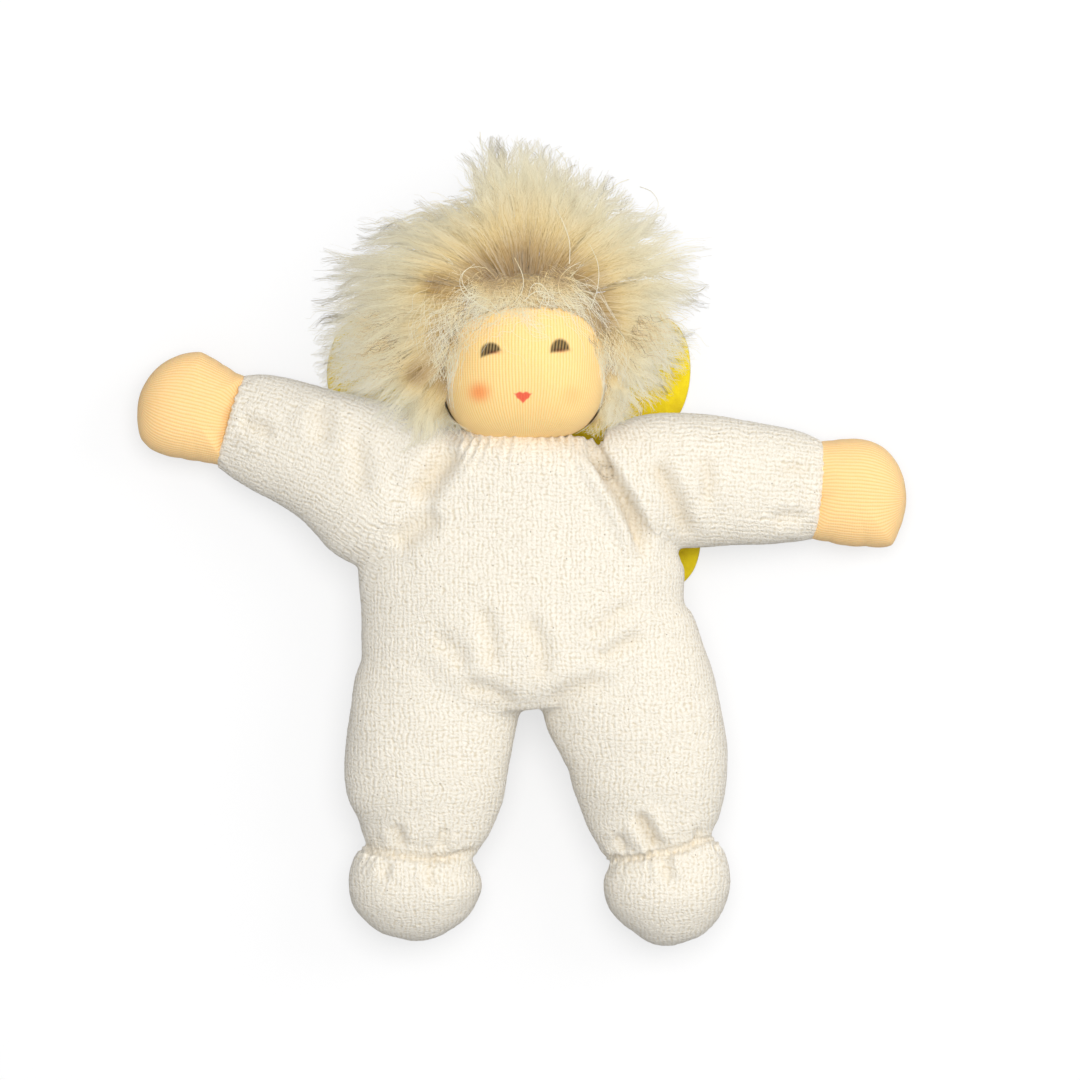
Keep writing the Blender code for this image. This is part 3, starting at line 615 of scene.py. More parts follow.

# %% [markdown]
# ## Parting the suit
# The limbs fold at their joints, and one skin over all of them would have to be bent
# by an armature. The skin is parted instead, at planes where the seams of the suit
# lie, into a piece for the body and one for each limb. All parts keep the normals of
# the whole skin, and so no edge shows between them.

# %% Parting the skin by body
# Each row: the body at the seam, the body of the limb, and where the blend starts and ends
BLENDS = {
    "sleeve_right": ("torso", "arm_right", (-0.0470, 0.0180, 0.0375), (-0.0673, 0.0258, 0.0375)),
    "sleeve_left": ("torso", "arm_left", (0.0505, 0.0395, 0.0375), (0.0712, 0.0454, 0.0375)),
    "leg_right": ("torso", "leg_right", (-0.0312, -0.0430, 0.03), (-0.0312, -0.0650, 0.03)),
    "leg_left": ("torso", "leg_left", (0.0378, -0.0430, 0.03), (0.0378, -0.0650, 0.03)),
    "foot_right": ("leg_right", "foot_right", (-0.0377, -0.0938, 0.03), (-0.0377, -0.1060, 0.03)),
    "foot_left": ("leg_left", "foot_left", (0.0490, -0.0928, 0.03), (0.0504, -0.1048, 0.03)),
}
COVERS = {
    "torso": ("torso_cover", "torso_stuffing"),
    "sleeve_right": ("sleeve_right", "arm_stuffing_right"),
    "sleeve_left": ("sleeve_left", "arm_stuffing_left"),
    "leg_right": ("leg_right", "leg_stuffing_right"),
    "leg_left": ("leg_left", "leg_stuffing_left"),
    "foot_right": ("foot_right", "foot_stuffing_right"),
    "foot_left": ("foot_left", "foot_stuffing_left"),
}
# Painted shade of the front folds, which the terry reads as a darker, warmer colour
fold_shade_values = np.clip(fold, 0, 1) * front
smooth_normals = normals_of(suit)
for k, name in enumerate(NAMES):
    faces = quads[zone == k]
    used, place = np.unique(faces, return_inverse=True)
    place = place.reshape(-1, 4)
    part = mesh_object(name + "_terry", co[used], place, TERRY)
    part.data.normals_split_custom_set_from_vertices(smooth_normals[used].tolist())
    layer = part.data.uv_layers.new(name="Weave")
    layer.data.foreach_set("uv", weaves[k][used][place].astype(np.float32).ravel())
    put_attribute(part, "fold", fold_shade_values[used])
    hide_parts(*COVERS[name])
    if name in BLENDS:
        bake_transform(part)
    else:
        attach(part, "torso")
bpy.data.objects.remove(suit, do_unlink=True)
print("suit parted into", len(NAMES), "pieces")

# %% [markdown]
# ## The head
# The head is a hard ball of wool with a tube of fine jersey drawn over it and tied at
# the neck. A scaled sphere would miss its broad cheeks and its flatter chin. So the
# face's outline is read as a reach in each direction from the middle, smoothed, and
# a ball is stretched to it; its depth is a single size.

# %% Head shape from the face's outline
# Outline of the head in pixels, clockwise from the crown; the upper part is under the wig
HEAD_MIDDLE = (526.6, 352.0)
HEAD_EDGE = ((526, 266), (560, 269), (586, 284), (602, 312), (608, 344), (607.5, 371), (604.5, 392),
             (598, 411), (588, 425), (575, 433.5), (560, 437.5), (539, 439.5), (510, 440), (482, 438),
             (466, 431.5), (454, 420), (446.5, 404), (442.5, 386), (443, 366), (445, 340), (452, 310),
             (468, 284), (494, 269))
HEAD_Z, HEAD_DEPTH = 31.5 * MM, 29.0 * MM
edge = np.asarray(HEAD_EDGE) - HEAD_MIDDLE
edge_turn = np.arctan2(-edge[:, 1], edge[:, 0])
edge_reach = np.hypot(edge[:, 0], edge[:, 1]) * PX
order = np.argsort(edge_turn)
edge_turn, edge_reach = edge_turn[order], edge_reach[order]


def head_reach(turn):
    """How far the head's outline lies from its middle, in each direction."""
    fine = np.linspace(-np.pi, np.pi, 361)[:-1]
    reach = np.interp(fine, edge_turn, edge_reach, period=2 * np.pi)
    kernel = np.exp(-(np.arange(-12, 13) / 6.0) ** 2)
    reach = np.convolve(np.concatenate((reach[-12:], reach, reach[:12])), kernel / kernel.sum(), "valid")
    return np.interp(turn, fine, reach, period=2 * np.pi)


def head_point(direction, grow=0.0):
    """The head's skin in each unit direction, moved out by grow."""
    d = np.asarray(direction, float)
    reach = head_reach(np.arctan2(d[:, 1], d[:, 0])) + grow
    mx, my = at(*HEAD_MIDDLE)
    full = np.sign(d[:, 2]) * np.abs(d[:, 2]) ** 0.92
    return np.stack((mx + d[:, 0] * reach, my + d[:, 1] * reach, HEAD_Z + full * (HEAD_DEPTH + grow)), 1)


print("head outline in mm across:", round(float(head_reach(0.0) + head_reach(np.pi)) / MM, 1))


# %% Ball of directions
def ball(columns, rows):
    """Unit directions and quads of a ball, poles on Z."""
    turn = 2 * np.pi * np.arange(columns) / columns
    tilt = np.linspace(-np.pi / 2, np.pi / 2, rows)
    z = np.repeat(np.sin(tilt), columns)
    flat = np.repeat(np.cos(tilt), columns)
    d = np.stack((flat * np.tile(np.cos(turn), rows), flat * np.tile(np.sin(turn), rows), z), 1)
    faces = [(r * columns + k, r * columns + (k + 1) % columns, (r + 1) * columns + (k + 1) % columns,
              (r + 1) * columns + k) for r in range(rows - 1) for k in range(columns)]
    return d, faces


d, faces = ball(420, 300)
skin = head_point(d)
print("head skin:", len(skin), "points")

# %% [markdown]
# ## The painted face
# The face is drawn on the jersey with crayon: two half-moon eyes, a small heart of a
# mouth and rubbed red cheeks. It is colour only, so it needs no shape of its own. Each
# mark is a formula over the head's points, stored as a value there, and the material
# mixes its colour by that value. The eyes are broken into strokes by the cloth's ribs.

# %% Crayon marks
def moon(x, y, middle, half, lower, slant):
    """A half moon: a dome above a nearly straight lower edge, in pixels."""
    rx, ry = (x - middle[0]) / half[0], (y - middle[1]) / half[1]
    inside = 1 - np.hypot(rx, np.minimum(ry, 0))
    below = (lower + slant * (x - middle[0]) - y) / half[1]
    return smooth(np.minimum(inside, below), -0.12, 0.22)


def heart(x, y):
    """A small heart with its point down, in pixels."""
    rx, ry = np.abs(x - 523.2) / 6.6, (y - 400.0) / 6.2
    lobe = np.hypot((rx - 0.46) / 0.56, (ry + 0.42) / 0.56)
    wedge = np.maximum(rx * 1.05 + ry * 0.92 - 0.62, -(ry + 0.62)) + 0.78
    return smooth(1.06 - np.minimum(lobe, wedge * 1.15), -0.14, 0.20)


hx, hy = skin[:, 0] / PX + OX, OY - skin[:, 1] / PX
ahead = smooth(d[:, 2], 0.05, 0.25)
left_eye = moon(hx, hy, (491.5, 355.0), (10.6, 10.2), 357.0, -0.34)
right_eye = moon(hx, hy, (559.8, 353.0), (10.0, 12.0), 354.6, -0.16)
RIB_PITCH_PX = 3.1
lash = 0.80 + 0.20 * np.cos(2 * np.pi * (hx + 0.12 * (hy - 350)) / RIB_PITCH_PX)
eyes = np.maximum(left_eye, right_eye) * lash * ahead
brown = (np.exp(-((hx - 494) / 6.5) ** 2 - ((hy - 354.8) / 2.0) ** 2)
         + np.exp(-((hx - 560) / 7) ** 2 - ((hy - 353.0) / 2.2) ** 2)) * ahead
cheeks = (0.95 * np.exp(-np.hypot((hx - 480) / 10.5, (hy - 394) / 9.5) ** 2.6)
          + 0.22 * np.exp(-np.hypot((hx - 571) / 10.5, (hy - 397) / 9.0) ** 2.6)) * ahead
mouth = heart(hx, hy) * ahead
print("painted points:", int((eyes > 0.3).sum()), "eyes,", int((mouth > 0.3).sum()), "mouth")

# %% [markdown]
# ## Jersey
# The skin is fine cotton jersey, knitted in ribs that run up the head like meridians
# and along the arms. A wave across the cloth makes the ribs, a weaker one along it the
# stitches, and a slow noise bends both a little, since no rib is quite straight. A
# little light goes into the thin cloth and comes out warmer, which is subsurface.

# %% Jersey
# How far apart the ribs and the stitches are, in mm
RIB, STITCH = 1.12, 0.85


def jersey_material(name, face=False):
    """Ribbed jersey; the head's takes its painted marks too."""
    made, tree, shader, add = material(name, 0.85, 0.15)
    weave = add("ShaderNodeUVMap", {"uv_map": "Weave"}).outputs[0]
    wander = add("ShaderNodeTexNoise", Vector=weave, Scale=0.12, Detail=1.0)
    shift = add("ShaderNodeVectorMath", {"operation": "MULTIPLY_ADD"}, s0=wander.outputs["Color"],
                s1=(0.5, 0.5, 0), s2=weave).outputs[0]
    parts = add("ShaderNodeSeparateXYZ", Vector=shift)
    rib = maths(add, "SINE", maths(add, "MULTIPLY", parts.outputs[0], 2 * math.pi / RIB), 0.0)
    stitch = maths(add, "SINE", maths(add, "MULTIPLY", parts.outputs[1], 2 * math.pi / STITCH), 0.0)
    grain = add("ShaderNodeTexNoise", Vector=weave, Scale=2.0, Detail=3.0).outputs["Fac"]
    height = maths(add, "ADD", rib, maths(add, "ADD", maths(add, "MULTIPLY", stitch, 0.25), grain))
    # Painted shade: the low parts of the ribs, the valleys of the bump, are coloured darker
    line = ramp(add, maths(add, "MULTIPLY_ADD", rib, 0.5), (0.0, (0, 0, 0)), (0.55, (1, 1, 1)))
    light = rgb(255, 224, 158) if face else rgb(253, 216, 158)
    rib_valley_shade = rgb(250, 200, 118) if face else rgb(245, 196, 128)
    tone = mixed(add, line, rib_valley_shade, light)
    blot = add("ShaderNodeTexNoise", Vector=weave, Scale=0.05, Detail=2.0).outputs["Fac"]
    tone = mixed(add, maths(add, "MULTIPLY", blot, 0.35), tone, rgb(250, 206, 138))
    if face:
        tone = mixed(add, attribute(add, "cheeks"), tone, rgb(250, 158, 92))
        tone = mixed(add, maths(add, "MULTIPLY", attribute(add, "brown"), 0.75), tone, rgb(186, 108, 74))
        tone = mixed(add, attribute(add, "eyes"), tone, rgb(24, 17, 12))
        tone = mixed(add, attribute(add, "mouth"), tone, rgb(236, 104, 76))
    tree.links.new(tone, shader.inputs["Base Color"])
    bump = add("ShaderNodeBump", Strength=0.35, Distance=0.00018, Height=height)
    tree.links.new(bump.outputs[0], shader.inputs["Normal"])
    shader.inputs["Subsurface Weight"].default_value = 0.12
    shader.inputs["Subsurface Radius"].default_value = (0.004, 0.002, 0.001)
    shader.inputs["Subsurface Scale"].default_value = 0.5
    return made


def put_weave(item, u, v):
    """Lays the cloth's own coordinates, in mm, on an object."""
    layer = item.data.uv_layers.new(name="Weave")
    corner = np.empty(len(item.data.loops), np.int32)
    item.data.loops.foreach_get("vertex_index", corner)
    layer.data.foreach_set("uv", np.stack((u[corner], v[corner]), 1).astype(np.float32).ravel())


JERSEY = jersey_material("jersey face", True)
print("material:", JERSEY.name)

# %% Head and neck
# The ribs are evenly spaced round the face, on a circle of this radius in mm
FACE_RADIUS = 36.0
head = mesh_object("head_jersey", skin, faces, JERSEY)
mx, my = at(*HEAD_MIDDLE)
across = np.arctan2(skin[:, 0] - mx, skin[:, 2] - HEAD_Z + 9 * MM)
put_weave(head, across * FACE_RADIUS, (skin[:, 1] - my) / MM)
for key, values in (("eyes", eyes), ("brown", brown), ("cheeks", cheeks), ("mouth", mouth)):
    put_attribute(head, key, np.clip(values, 0, 1))
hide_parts("head_skin", "head_core")
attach(head, "head")

NECK = ((526.6, 432, 19, 7, 32), (526.6, 445, 17, 6, 31), (526.6, 470, 17, 6, 29))
neck = mesh_object("neck_jersey", *tube(NECK, 24, 8), JERSEY)
put_weave(neck, *(points_of(neck)[:, :2].T / MM))
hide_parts("neck_core")
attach(neck, "neck")
print("head and neck made")

# %% [markdown]
# ## Hands
# Each hand is a jersey bag without fingers, filled with wool and sewn into the sleeve's
# mouth, so that it bulges out of the wrist. A tube would pinch at its round end. As
# for the head, a ball is stretched to the hand's outline instead, and made plumper
# than a ball towards its rim, as a tightly filled bag is.

# %% Outlines of the hands
# Each hand: its middle in pixels, half depth and height in mm, the way out along the arm,
# then its outline in pixels
HANDS = {
    "right": ((188, 409), 13.2, 13.3, (-0.97, 0.24), (
        (135.5, 412), (136, 403), (138, 394), (143.5, 382), (151, 371.5), (161, 362.5), (173, 356),
        (186, 352), (199, 351), (209, 356), (221, 363.5), (234, 372), (246, 377), (244, 395), (236, 420),
        (230, 446), (226, 465), (210, 463), (197, 460.5), (179, 457.5), (161, 454), (148, 448),
        (139, 438), (136, 425))),
    "left": ((855, 493), 13.2, 13.3, (0.997, -0.06), (
        (808, 447), (820, 441.5), (834, 440), (848, 438.5), (861, 438.5), (873, 441), (885, 447),
        (896, 458.5), (903, 471.5), (907, 487), (908, 500), (905.5, 516), (900.5, 531), (894, 545),
        (888, 547), (867, 546), (848, 545.5), (830, 541.5), (812, 538), (810, 500))),
}
print("outline points:", {side: len(row[4]) for side, row in HANDS.items()})

# %% Hands
HAND = jersey_material("jersey hands")
# The radius across an arm and the one that spaces its ribs, in mm
ARM_RADIUS, ARM_RIB_RADIUS = 18.5, 15.8
for side, (middle, deep, high, out, outline) in HANDS.items():
    d, faces = ball(160, 90)
    rim = np.asarray(outline, float) - middle
    turns, reach = np.arctan2(-rim[:, 1], rim[:, 0]), np.hypot(rim[:, 0], rim[:, 1]) * PX
    order = np.argsort(turns)
    reach = np.interp(np.arctan2(d[:, 1], d[:, 0]), turns[order], reach[order], period=2 * np.pi)
    mx, my = at(*middle)
    flat = np.hypot(d[:, 0], d[:, 1])
    plump = flat ** 0.86 / np.maximum(flat, 1e-9)
    x, y = mx + d[:, 0] * reach * plump, my + d[:, 1] * reach * plump
    z = high * MM + np.sign(d[:, 2]) * np.abs(d[:, 2]) ** 0.95 * deep * MM
    verts = np.stack((x, y, np.maximum(z, 0.2 * MM)), 1)
    hand = mesh_object("hand_" + side, verts, faces, HAND)
    run = (x - mx) * out[0] + (y - my) * out[1]
    across = (y - my) * out[0] - (x - mx) * out[1]
    girth = np.arctan2(across / (ARM_RADIUS * MM), (z - high * MM) / (deep * MM)) * ARM_RIB_RADIUS
    put_weave(hand, girth, run / MM)
    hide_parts("hand_" + side, "hand_stuffing_" + side)
    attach(hand, "arm_" + side)
print("hands made")

# %% [markdown]
# ## Wings
# The wings are cut from thick brushed wool felt, two lobes to a side, and sewn to the
# back. Only their edges show from the front; the hidden middle is guessed.

# %% Outlines of the wings
WING_EDGE = {
    "left": ((522.0, 424), (524, 400), (560, 374), (600, 344), (630, 322), (655, 314), (676, 321),
             (688, 340), (692, 366), (689, 392), (680, 414), (664, 432), (650, 452), (656, 470),
             (680, 486), (697, 505), (702, 530), (701, 553), (693, 574), (676, 588), (650, 589),
             (610, 584), (565, 560), (523, 512)),
    "right": ((503.5, 424), (500, 400), (460, 374), (418, 344), (392, 326), (366, 316), (344, 322),
              (331, 340), (325, 366), (327, 390), (338, 412), (356, 432), (370, 452), (372, 468),
              (366, 484), (362, 505), (362, 530), (364, 553), (372, 572), (385, 583), (402, 587),
              (430, 580), (465, 556), (502.5, 512)),
}
BAND_EDGE = ((504, 429), (522, 429), (522, 523), (504, 523))
print("outline points:", {side: len(edge) for side, edge in WING_EDGE.items()})

# %% [markdown]
# Felt has no weave: its fibres are matted, and a few stand off its face. So its colour
# and relief come from two sizes of noise, a broad one for thick and thin places and a
# fine drawn-out one for the fibres, and a yellow sheen stands for the fuzz.

# %% Felt
def felt_material():
    """Brushed yellow wool felt."""
    made, tree, shader, add = material("yellow felt", 0.95, 0.5)
    where = add("ShaderNodeTexCoord").outputs["Object"]
    patch = add("ShaderNodeTexNoise", Vector=where, Scale=160.0, Detail=3.0).outputs["Fac"]
    fibre = add("ShaderNodeTexNoise", Vector=where, Scale=1500.0, Detail=4.0, Distortion=1.5).outputs["Fac"]
    tone = ramp(add, patch, (0.30, rgb(226, 190, 6)), (0.62, rgb(250, 222, 18)))
    tone = mixed(add, maths(add, "MULTIPLY", fibre, 0.4), tone, rgb(255, 236, 70))
    tree.links.new(tone, shader.inputs["Base Color"])
    shader.inputs["Sheen Tint"].default_value = (1.0, 0.9, 0.3, 1)
    height = maths(add, "ADD", maths(add, "MULTIPLY", patch, 2.0), fibre)
    bump = add("ShaderNodeBump", Strength=0.8, Distance=0.0006, Height=height)
    tree.links.new(bump.outputs[0], shader.inputs["Normal"])
    return made


FELT = felt_material()
print("material:", FELT.name)

# %% [markdown]
# A flat sheet pushed out by a modifier would have a hard square edge, while the cut edge
# of felt is soft and rounded. Here rings are drawn in from the outline, the first ones
# steep, so that they round the edge, and the top is mirrored below.

# %% Cut felt
def smooth_loop(points, count):
    """A closed soft curve through the points, in even steps."""
    points = np.asarray(points, float)
    closed = spline(np.concatenate((points[-2:], points, points[:3])), 40 * (len(points) + 4) + 1)
    closed = closed[80:-80]
    run = np.concatenate(([0], np.cumsum(np.linalg.norm(np.diff(closed, axis=0), axis=1))))
    steps = np.linspace(0, run[-1], count, endpoint=False)
    return np.stack([np.interp(steps, run, closed[:, k]) for k in (0, 1)], 1)


def felt_piece(name, outline, height, half):
    """A thick flat piece with a rounded edge, of rings drawn in towards its middle."""
    edge = smooth_loop(outline, 220)
    flat = np.stack(at(edge[:, 0], edge[:, 1]), 1)
    mid = flat.mean(0)
    rings = []
    for inset, rise in ((0.0, 0.0), (0.02, 0.55), (0.05, 0.86), (0.10, 1.0), (0.3, 1.0), (0.55, 1.0),
                        (0.8, 1.0)):
        xy = flat + (mid - flat) * inset * (0.22 if inset < 0.2 else 1.0)
        rings.append(np.column_stack((xy, np.full(len(xy), rise))))
    rings.append(np.array([[*mid, 1.0]]))
    top = np.concatenate(rings)
    low = top.copy()
    low[:, 2] *= -1
    n, tiers = len(edge), len(rings) - 1
    mesh = bmesh.new()
    up = [mesh.verts.new((x, y, height + z * half)) for x, y, z in top]
    down = up[:n] + [mesh.verts.new((x, y, height + z * half)) for x, y, z in low[n:]]
    for verts in (up, down):
        for r in range(tiers - 1):
            for k in range(n):
                m = (k + 1) % n
                mesh.faces.new((verts[r * n + k], verts[r * n + m], verts[(r + 1) * n + m],
                                verts[(r + 1) * n + k]))
        for k in range(n):
            mesh.faces.new((verts[(tiers - 1) * n + k], verts[(tiers - 1) * n + (k + 1) % n], verts[-1]))
    bmesh.ops.recalc_face_normals(mesh, faces=mesh.faces)
    data = bpy.data.meshes.new(name)
    mesh.to_mesh(data)
    mesh.free()
    data.shade_smooth()
    data.materials.append(FELT)
    item = bpy.data.objects.new(name, data)
    bpy.context.collection.objects.link(item)
    return item


print("steps round a smooth outline:", len(smooth_loop(BAND_EDGE, 220)))

# %% Wings and their band
# The height of the felt's middle and half its thickness
FELT_HEIGHT, FELT_HALF = 1.5 * MM, 1.30 * MM
for side, outline in WING_EDGE.items():
    wing = felt_piece("wing_" + side, outline, FELT_HEIGHT, FELT_HALF)
    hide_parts("wing_" + side)
    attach(wing, "wing_" + side)
band = felt_piece("wing_band", BAND_EDGE, FELT_HEIGHT, FELT_HALF)
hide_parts("wing_band")
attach(band, "torso")

# %% [markdown]
# ## The wig
# The wig is a skull cap of long wool pile. Its fibres are coloured darker at the root
# and paler towards the tip, and they hang together in wavy locks. They part at a whorl
# above the forehead and fan out round the head, so one row of guide lines, from the left
# of the neck over the crown to the right, sets the way of every lock between them.
# Scattered hair would fall anywhere; guides traced from the picture put each lock in its place.

# %% Guide lines of the wig
# Each guide: four points, in pixels, with the height in mm; the first is at the root
GUIDES = np.array((
    ((452, 396, 38), (445, 414, 44), (440, 434, 44), (432, 455, 42)),
    ((449, 376, 40), (434, 403, 47), (422, 432, 46), (409, 459, 43)),
    ((448, 356, 42), (425, 384, 50), (406, 412, 46), (392, 438, 41)),
    ((451, 340, 44), (422, 361, 52), (386, 387, 46), (346, 406, 33)),
    ((458, 328, 47), (420, 343, 56), (376, 364, 45), (323, 385, 25)),
    ((466, 318, 50), (420, 326, 63), (367, 342, 45), (316, 362, 22)),
    ((474, 309, 52), (424, 310, 61), (367, 318, 46), (315, 336, 21)),
    ((481, 302, 53), (430, 293, 63), (369, 293, 46), (314, 306, 21)),
    ((487, 296, 53), (436, 277, 65), (373, 269, 47), (318, 277, 21)),
    ((493, 290, 53), (444, 260, 65), (385, 247, 46), (340, 253, 21)),
    ((498, 286, 53), (457, 243, 65), (408, 225, 46), (366, 235, 22)),
    ((504, 283, 52), (473, 230, 65), (437, 211, 46), (410, 221, 24)),
    ((510, 281, 52), (489, 224, 65), (466, 200, 47), (450, 207, 26)),
    ((515, 280, 52), (501, 219, 65), (487, 175, 46), (479, 134, 28)),
    ((520, 279, 52), (514, 214, 65), (505, 166, 46), (499, 135, 28)),
    ((526, 279, 52), (528, 212, 65), (528, 166, 46), (531, 133, 28)),
    ((533, 279, 52), (543, 217, 65), (549, 174, 46), (554, 149, 28)),
    ((540, 280, 52), (558, 225, 65), (571, 190, 46), (581, 166, 26)),
    ((547, 281, 52), (574, 234, 65), (599, 203, 46), (626, 182, 25)),
    ((553, 283, 52), (590, 244, 65), (621, 217, 46), (646, 203, 24)),
    ((560, 286, 52), (604, 256, 65), (641, 233, 46), (673, 221, 24)),
    ((568, 291, 52), (614, 269, 63), (658, 254, 46), (706, 254, 24)),
    ((577, 298, 51), (622, 283, 57), (664, 275, 45), (714, 284, 22)),
    ((585, 306, 50), (626, 298, 55), (662, 299, 44), (700, 306, 22)),
    ((593, 315, 49), (628, 315, 53), (657, 323, 42), (686, 336, 20)),
    ((600, 326, 47), (627, 332, 50), (654, 349, 40), (686, 370, 20)),
    ((605, 339, 45), (623, 352, 47), (644, 374, 38), (667, 401, 24)),
    ((608, 354, 42), (617, 371, 45), (630, 393, 38), (646, 420, 31)),
    ((608, 372, 38), (612, 388, 41), (617, 404, 38), (623, 424, 37)),
    ((605, 394, 33), (607, 405, 36), (607, 416, 36), (604, 430, 36)),
), float)
print("guides:", len(GUIDES))


# %% Between the guides
def guide_at(place, share):
    """Points on the guide fan: place runs over the guides and share along them."""
    last = len(GUIDES) - 1
    i = np.clip(place.astype(int), 0, last - 1)
    f = (place - i)[:, None, None]
    rows = GUIDES[i] * (1 - f) + GUIDES[i + 1] * f
    t = share[..., None]
    p0, p1, p2, p3 = (rows[:, k][:, None, :] for k in range(4))
    s = 1 - t
    c1 = p1 + (p1 - p0) * 0.15
    c2 = p2 + (p2 - p3) * 0.15
    return s ** 3 * p0 + 3 * s * s * t * c1 + 3 * s * t * t * c2 + t ** 3 * p3


middle_lock = guide_at(np.array([15.0]), np.linspace(0, 1, 5)[None])[0]
print("heights along the lock at the crown in mm:", [round(float(p[2])) for p in middle_lock])

# %% [markdown]
# A strand is a thin flat rod with three sides. Curves with a bevel would do the same in
# fewer lines, but thousands of them are slow, and a plain mesh keeps its values at each
# point for the shading. All strands of a piece are made in one go.

# %% Strands
# How many sides a strand has
SIDES = 3


def strands(centres, radius, sides=SIDES, flat=0.30):
    """Thin tapered rods along many lines of points at once."""
    n, k, _ = centres.shape
    along = np.gradient(centres, axis=1)
    along /= np.maximum(np.linalg.norm(along, axis=2, keepdims=True), 1e-12)
    side = np.cross(along, np.array((0.12, 0.05, 1.0)))
    side /= np.maximum(np.linalg.norm(side, axis=2, keepdims=True), 1e-12)
    up = np.cross(side, along)
    turn = 2 * np.pi * np.arange(sides) / sides + np.pi / 2
    ring = (side[:, :, None, :] * np.cos(turn)[None, None, :, None]
            + up[:, :, None, :] * (flat * np.sin(turn))[None, None, :, None])
    verts = centres[:, :, None, :] + ring * radius[:, :, None, None]
    index = np.arange(n * k * sides).reshape(n, k, sides)
    nxt = np.roll(index, -1, 2)
    faces = np.stack((index[:, :-1], index[:, 1:], nxt[:, 1:], nxt[:, :-1]), -1).reshape(-1, 4)
    return verts.reshape(-1, 3), faces


verts, faces = strands(middle_lock[None], np.full((1, 5), 0.1))
print("one strand of 5 steps:", len(verts), "points and", len(faces), "quads")

# %% [markdown]
# ## Wool pile
# Wool is bleached and lets light through: in a lock most of what one sees has passed
# several fibres. Solid rods would shade each other until the wig turned brown. So the
# rays that look for light pass mostly through the strands, the same from every side,
# and the shading leans towards the round of the whole wig. The roots are darker.

# %% Wool pile
# How much of the light passes through a strand, how clear it always is, and how far its
# shading leans from its own round to that of the wig
LIGHT_THROUGH, ALWAYS_CLEAR, LEAN = 0.88, 0.07, 0.80


def pile_material():
    """Wool pile: darker towards the root, with a sheen, and clear to much of the light."""
    made, tree, shader, add = material("wool pile", 0.8, 0.5)
    shader.inputs["Sheen Tint"].default_value = rgb(255, 240, 200)
    along, tint = attribute(add, "along"), attribute(add, "tint")
    # Darker towards the root; where the locks part, the along value also carries painted shade
    tone = ramp(add, along, (0.00, rgb(146, 108, 54)), (0.14, rgb(200, 160, 92)),
                (0.30, rgb(246, 216, 148)), (0.62, rgb(255, 243, 202)), (1.00, rgb(255, 251, 232)))
    tone = mixed(add, maths(add, "MULTIPLY", tint, 0.35), tone, rgb(255, 248, 226))
    shade = maths(add, "MULTIPLY", maths(add, "SUBTRACT", 0.32, tint), 1.3)
    tone = mixed(add, maths(add, "MAXIMUM", shade, 0.0), tone, rgb(196, 164, 106))
    tree.links.new(tone, shader.inputs["Base Color"])
    puff = add("ShaderNodeAttribute", {"attribute_name": "puff"}).outputs["Vector"]
    own = add("ShaderNodeNewGeometry").outputs["Normal"]
    lean = add("ShaderNodeMix", {"data_type": "VECTOR"}, s0=LEAN, s4=own, s5=puff).outputs[1]
    soft = add("ShaderNodeVectorMath", {"operation": "NORMALIZE"}, s0=lean).outputs[0]
    tree.links.new(soft, shader.inputs["Normal"])
    clear = add("ShaderNodeBsdfTransparent")
    rays = add("ShaderNodeLightPath").outputs
    seeking = maths(add, "MAXIMUM", rays["Is Shadow Ray"], rays["Is Diffuse Ray"])
    through = maths(add, "MULTIPLY", seeking, LIGHT_THROUGH)
    fine = add("ShaderNodeMixShader", s0=maths(add, "ADD", through, ALWAYS_CLEAR), s1=shader.outputs[0],
               s2=clear.outputs[0])
    tree.links.new(fine.outputs[0], tree.nodes["Material Output"].inputs["Surface"])
    return made


PILE = pile_material()
print("material:", PILE.name)

# %% Roots and the round of the wig
# Where the locks part, painted shade darkens the strands at the root: pixels and how wide
ROOT_SHADE = ((492, 284, 20), (436, 288, 15), (560, 284, 13), (416, 376, 17), (594, 422, 11), (522, 262, 10))
# The middle of the wig's round above the head's middle and above the floor
PUFF_UP, PUFF_HEIGHT = 8 * MM, 16 * MM


def put_along_and_root_shade(item, values):
    """How far along its strand each point lies, lowered for painted shade where the locks part."""
    co = points_of(item)
    px, py = co[:, 0] / PX + OX, OY - co[:, 1] / PX
    # Painted shade: near these places the strands take the darker colour of the root
    parting_shade = sum(np.exp(-((px - x) ** 2 + (py - y) ** 2) / wide ** 2) for x, y, wide in ROOT_SHADE)
    put_attribute(item, "along", np.asarray(values).ravel() * (1 - 0.80 * np.clip(parting_shade, 0, 1)))


def put_puff(item):
    """The soft outer direction of the whole wig at each point, for its shading."""
    co = points_of(item)
    mx, my = at(*HEAD_MIDDLE)
    out = (co - np.array((mx, my + PUFF_UP, PUFF_HEIGHT))) * np.array((0.5, 0.5, 5.0))
    out /= np.linalg.norm(out, axis=1)[:, None]
    put_attribute(item, "puff", out, "FLOAT_VECTOR")


print("places where roots show:", len(ROOT_SHADE))

# %% [markdown]
# Each lock follows the guides at a place of its own, in a low or a high layer, and
# bends and waves on its way. Low locks start further out and are nearer to the head.

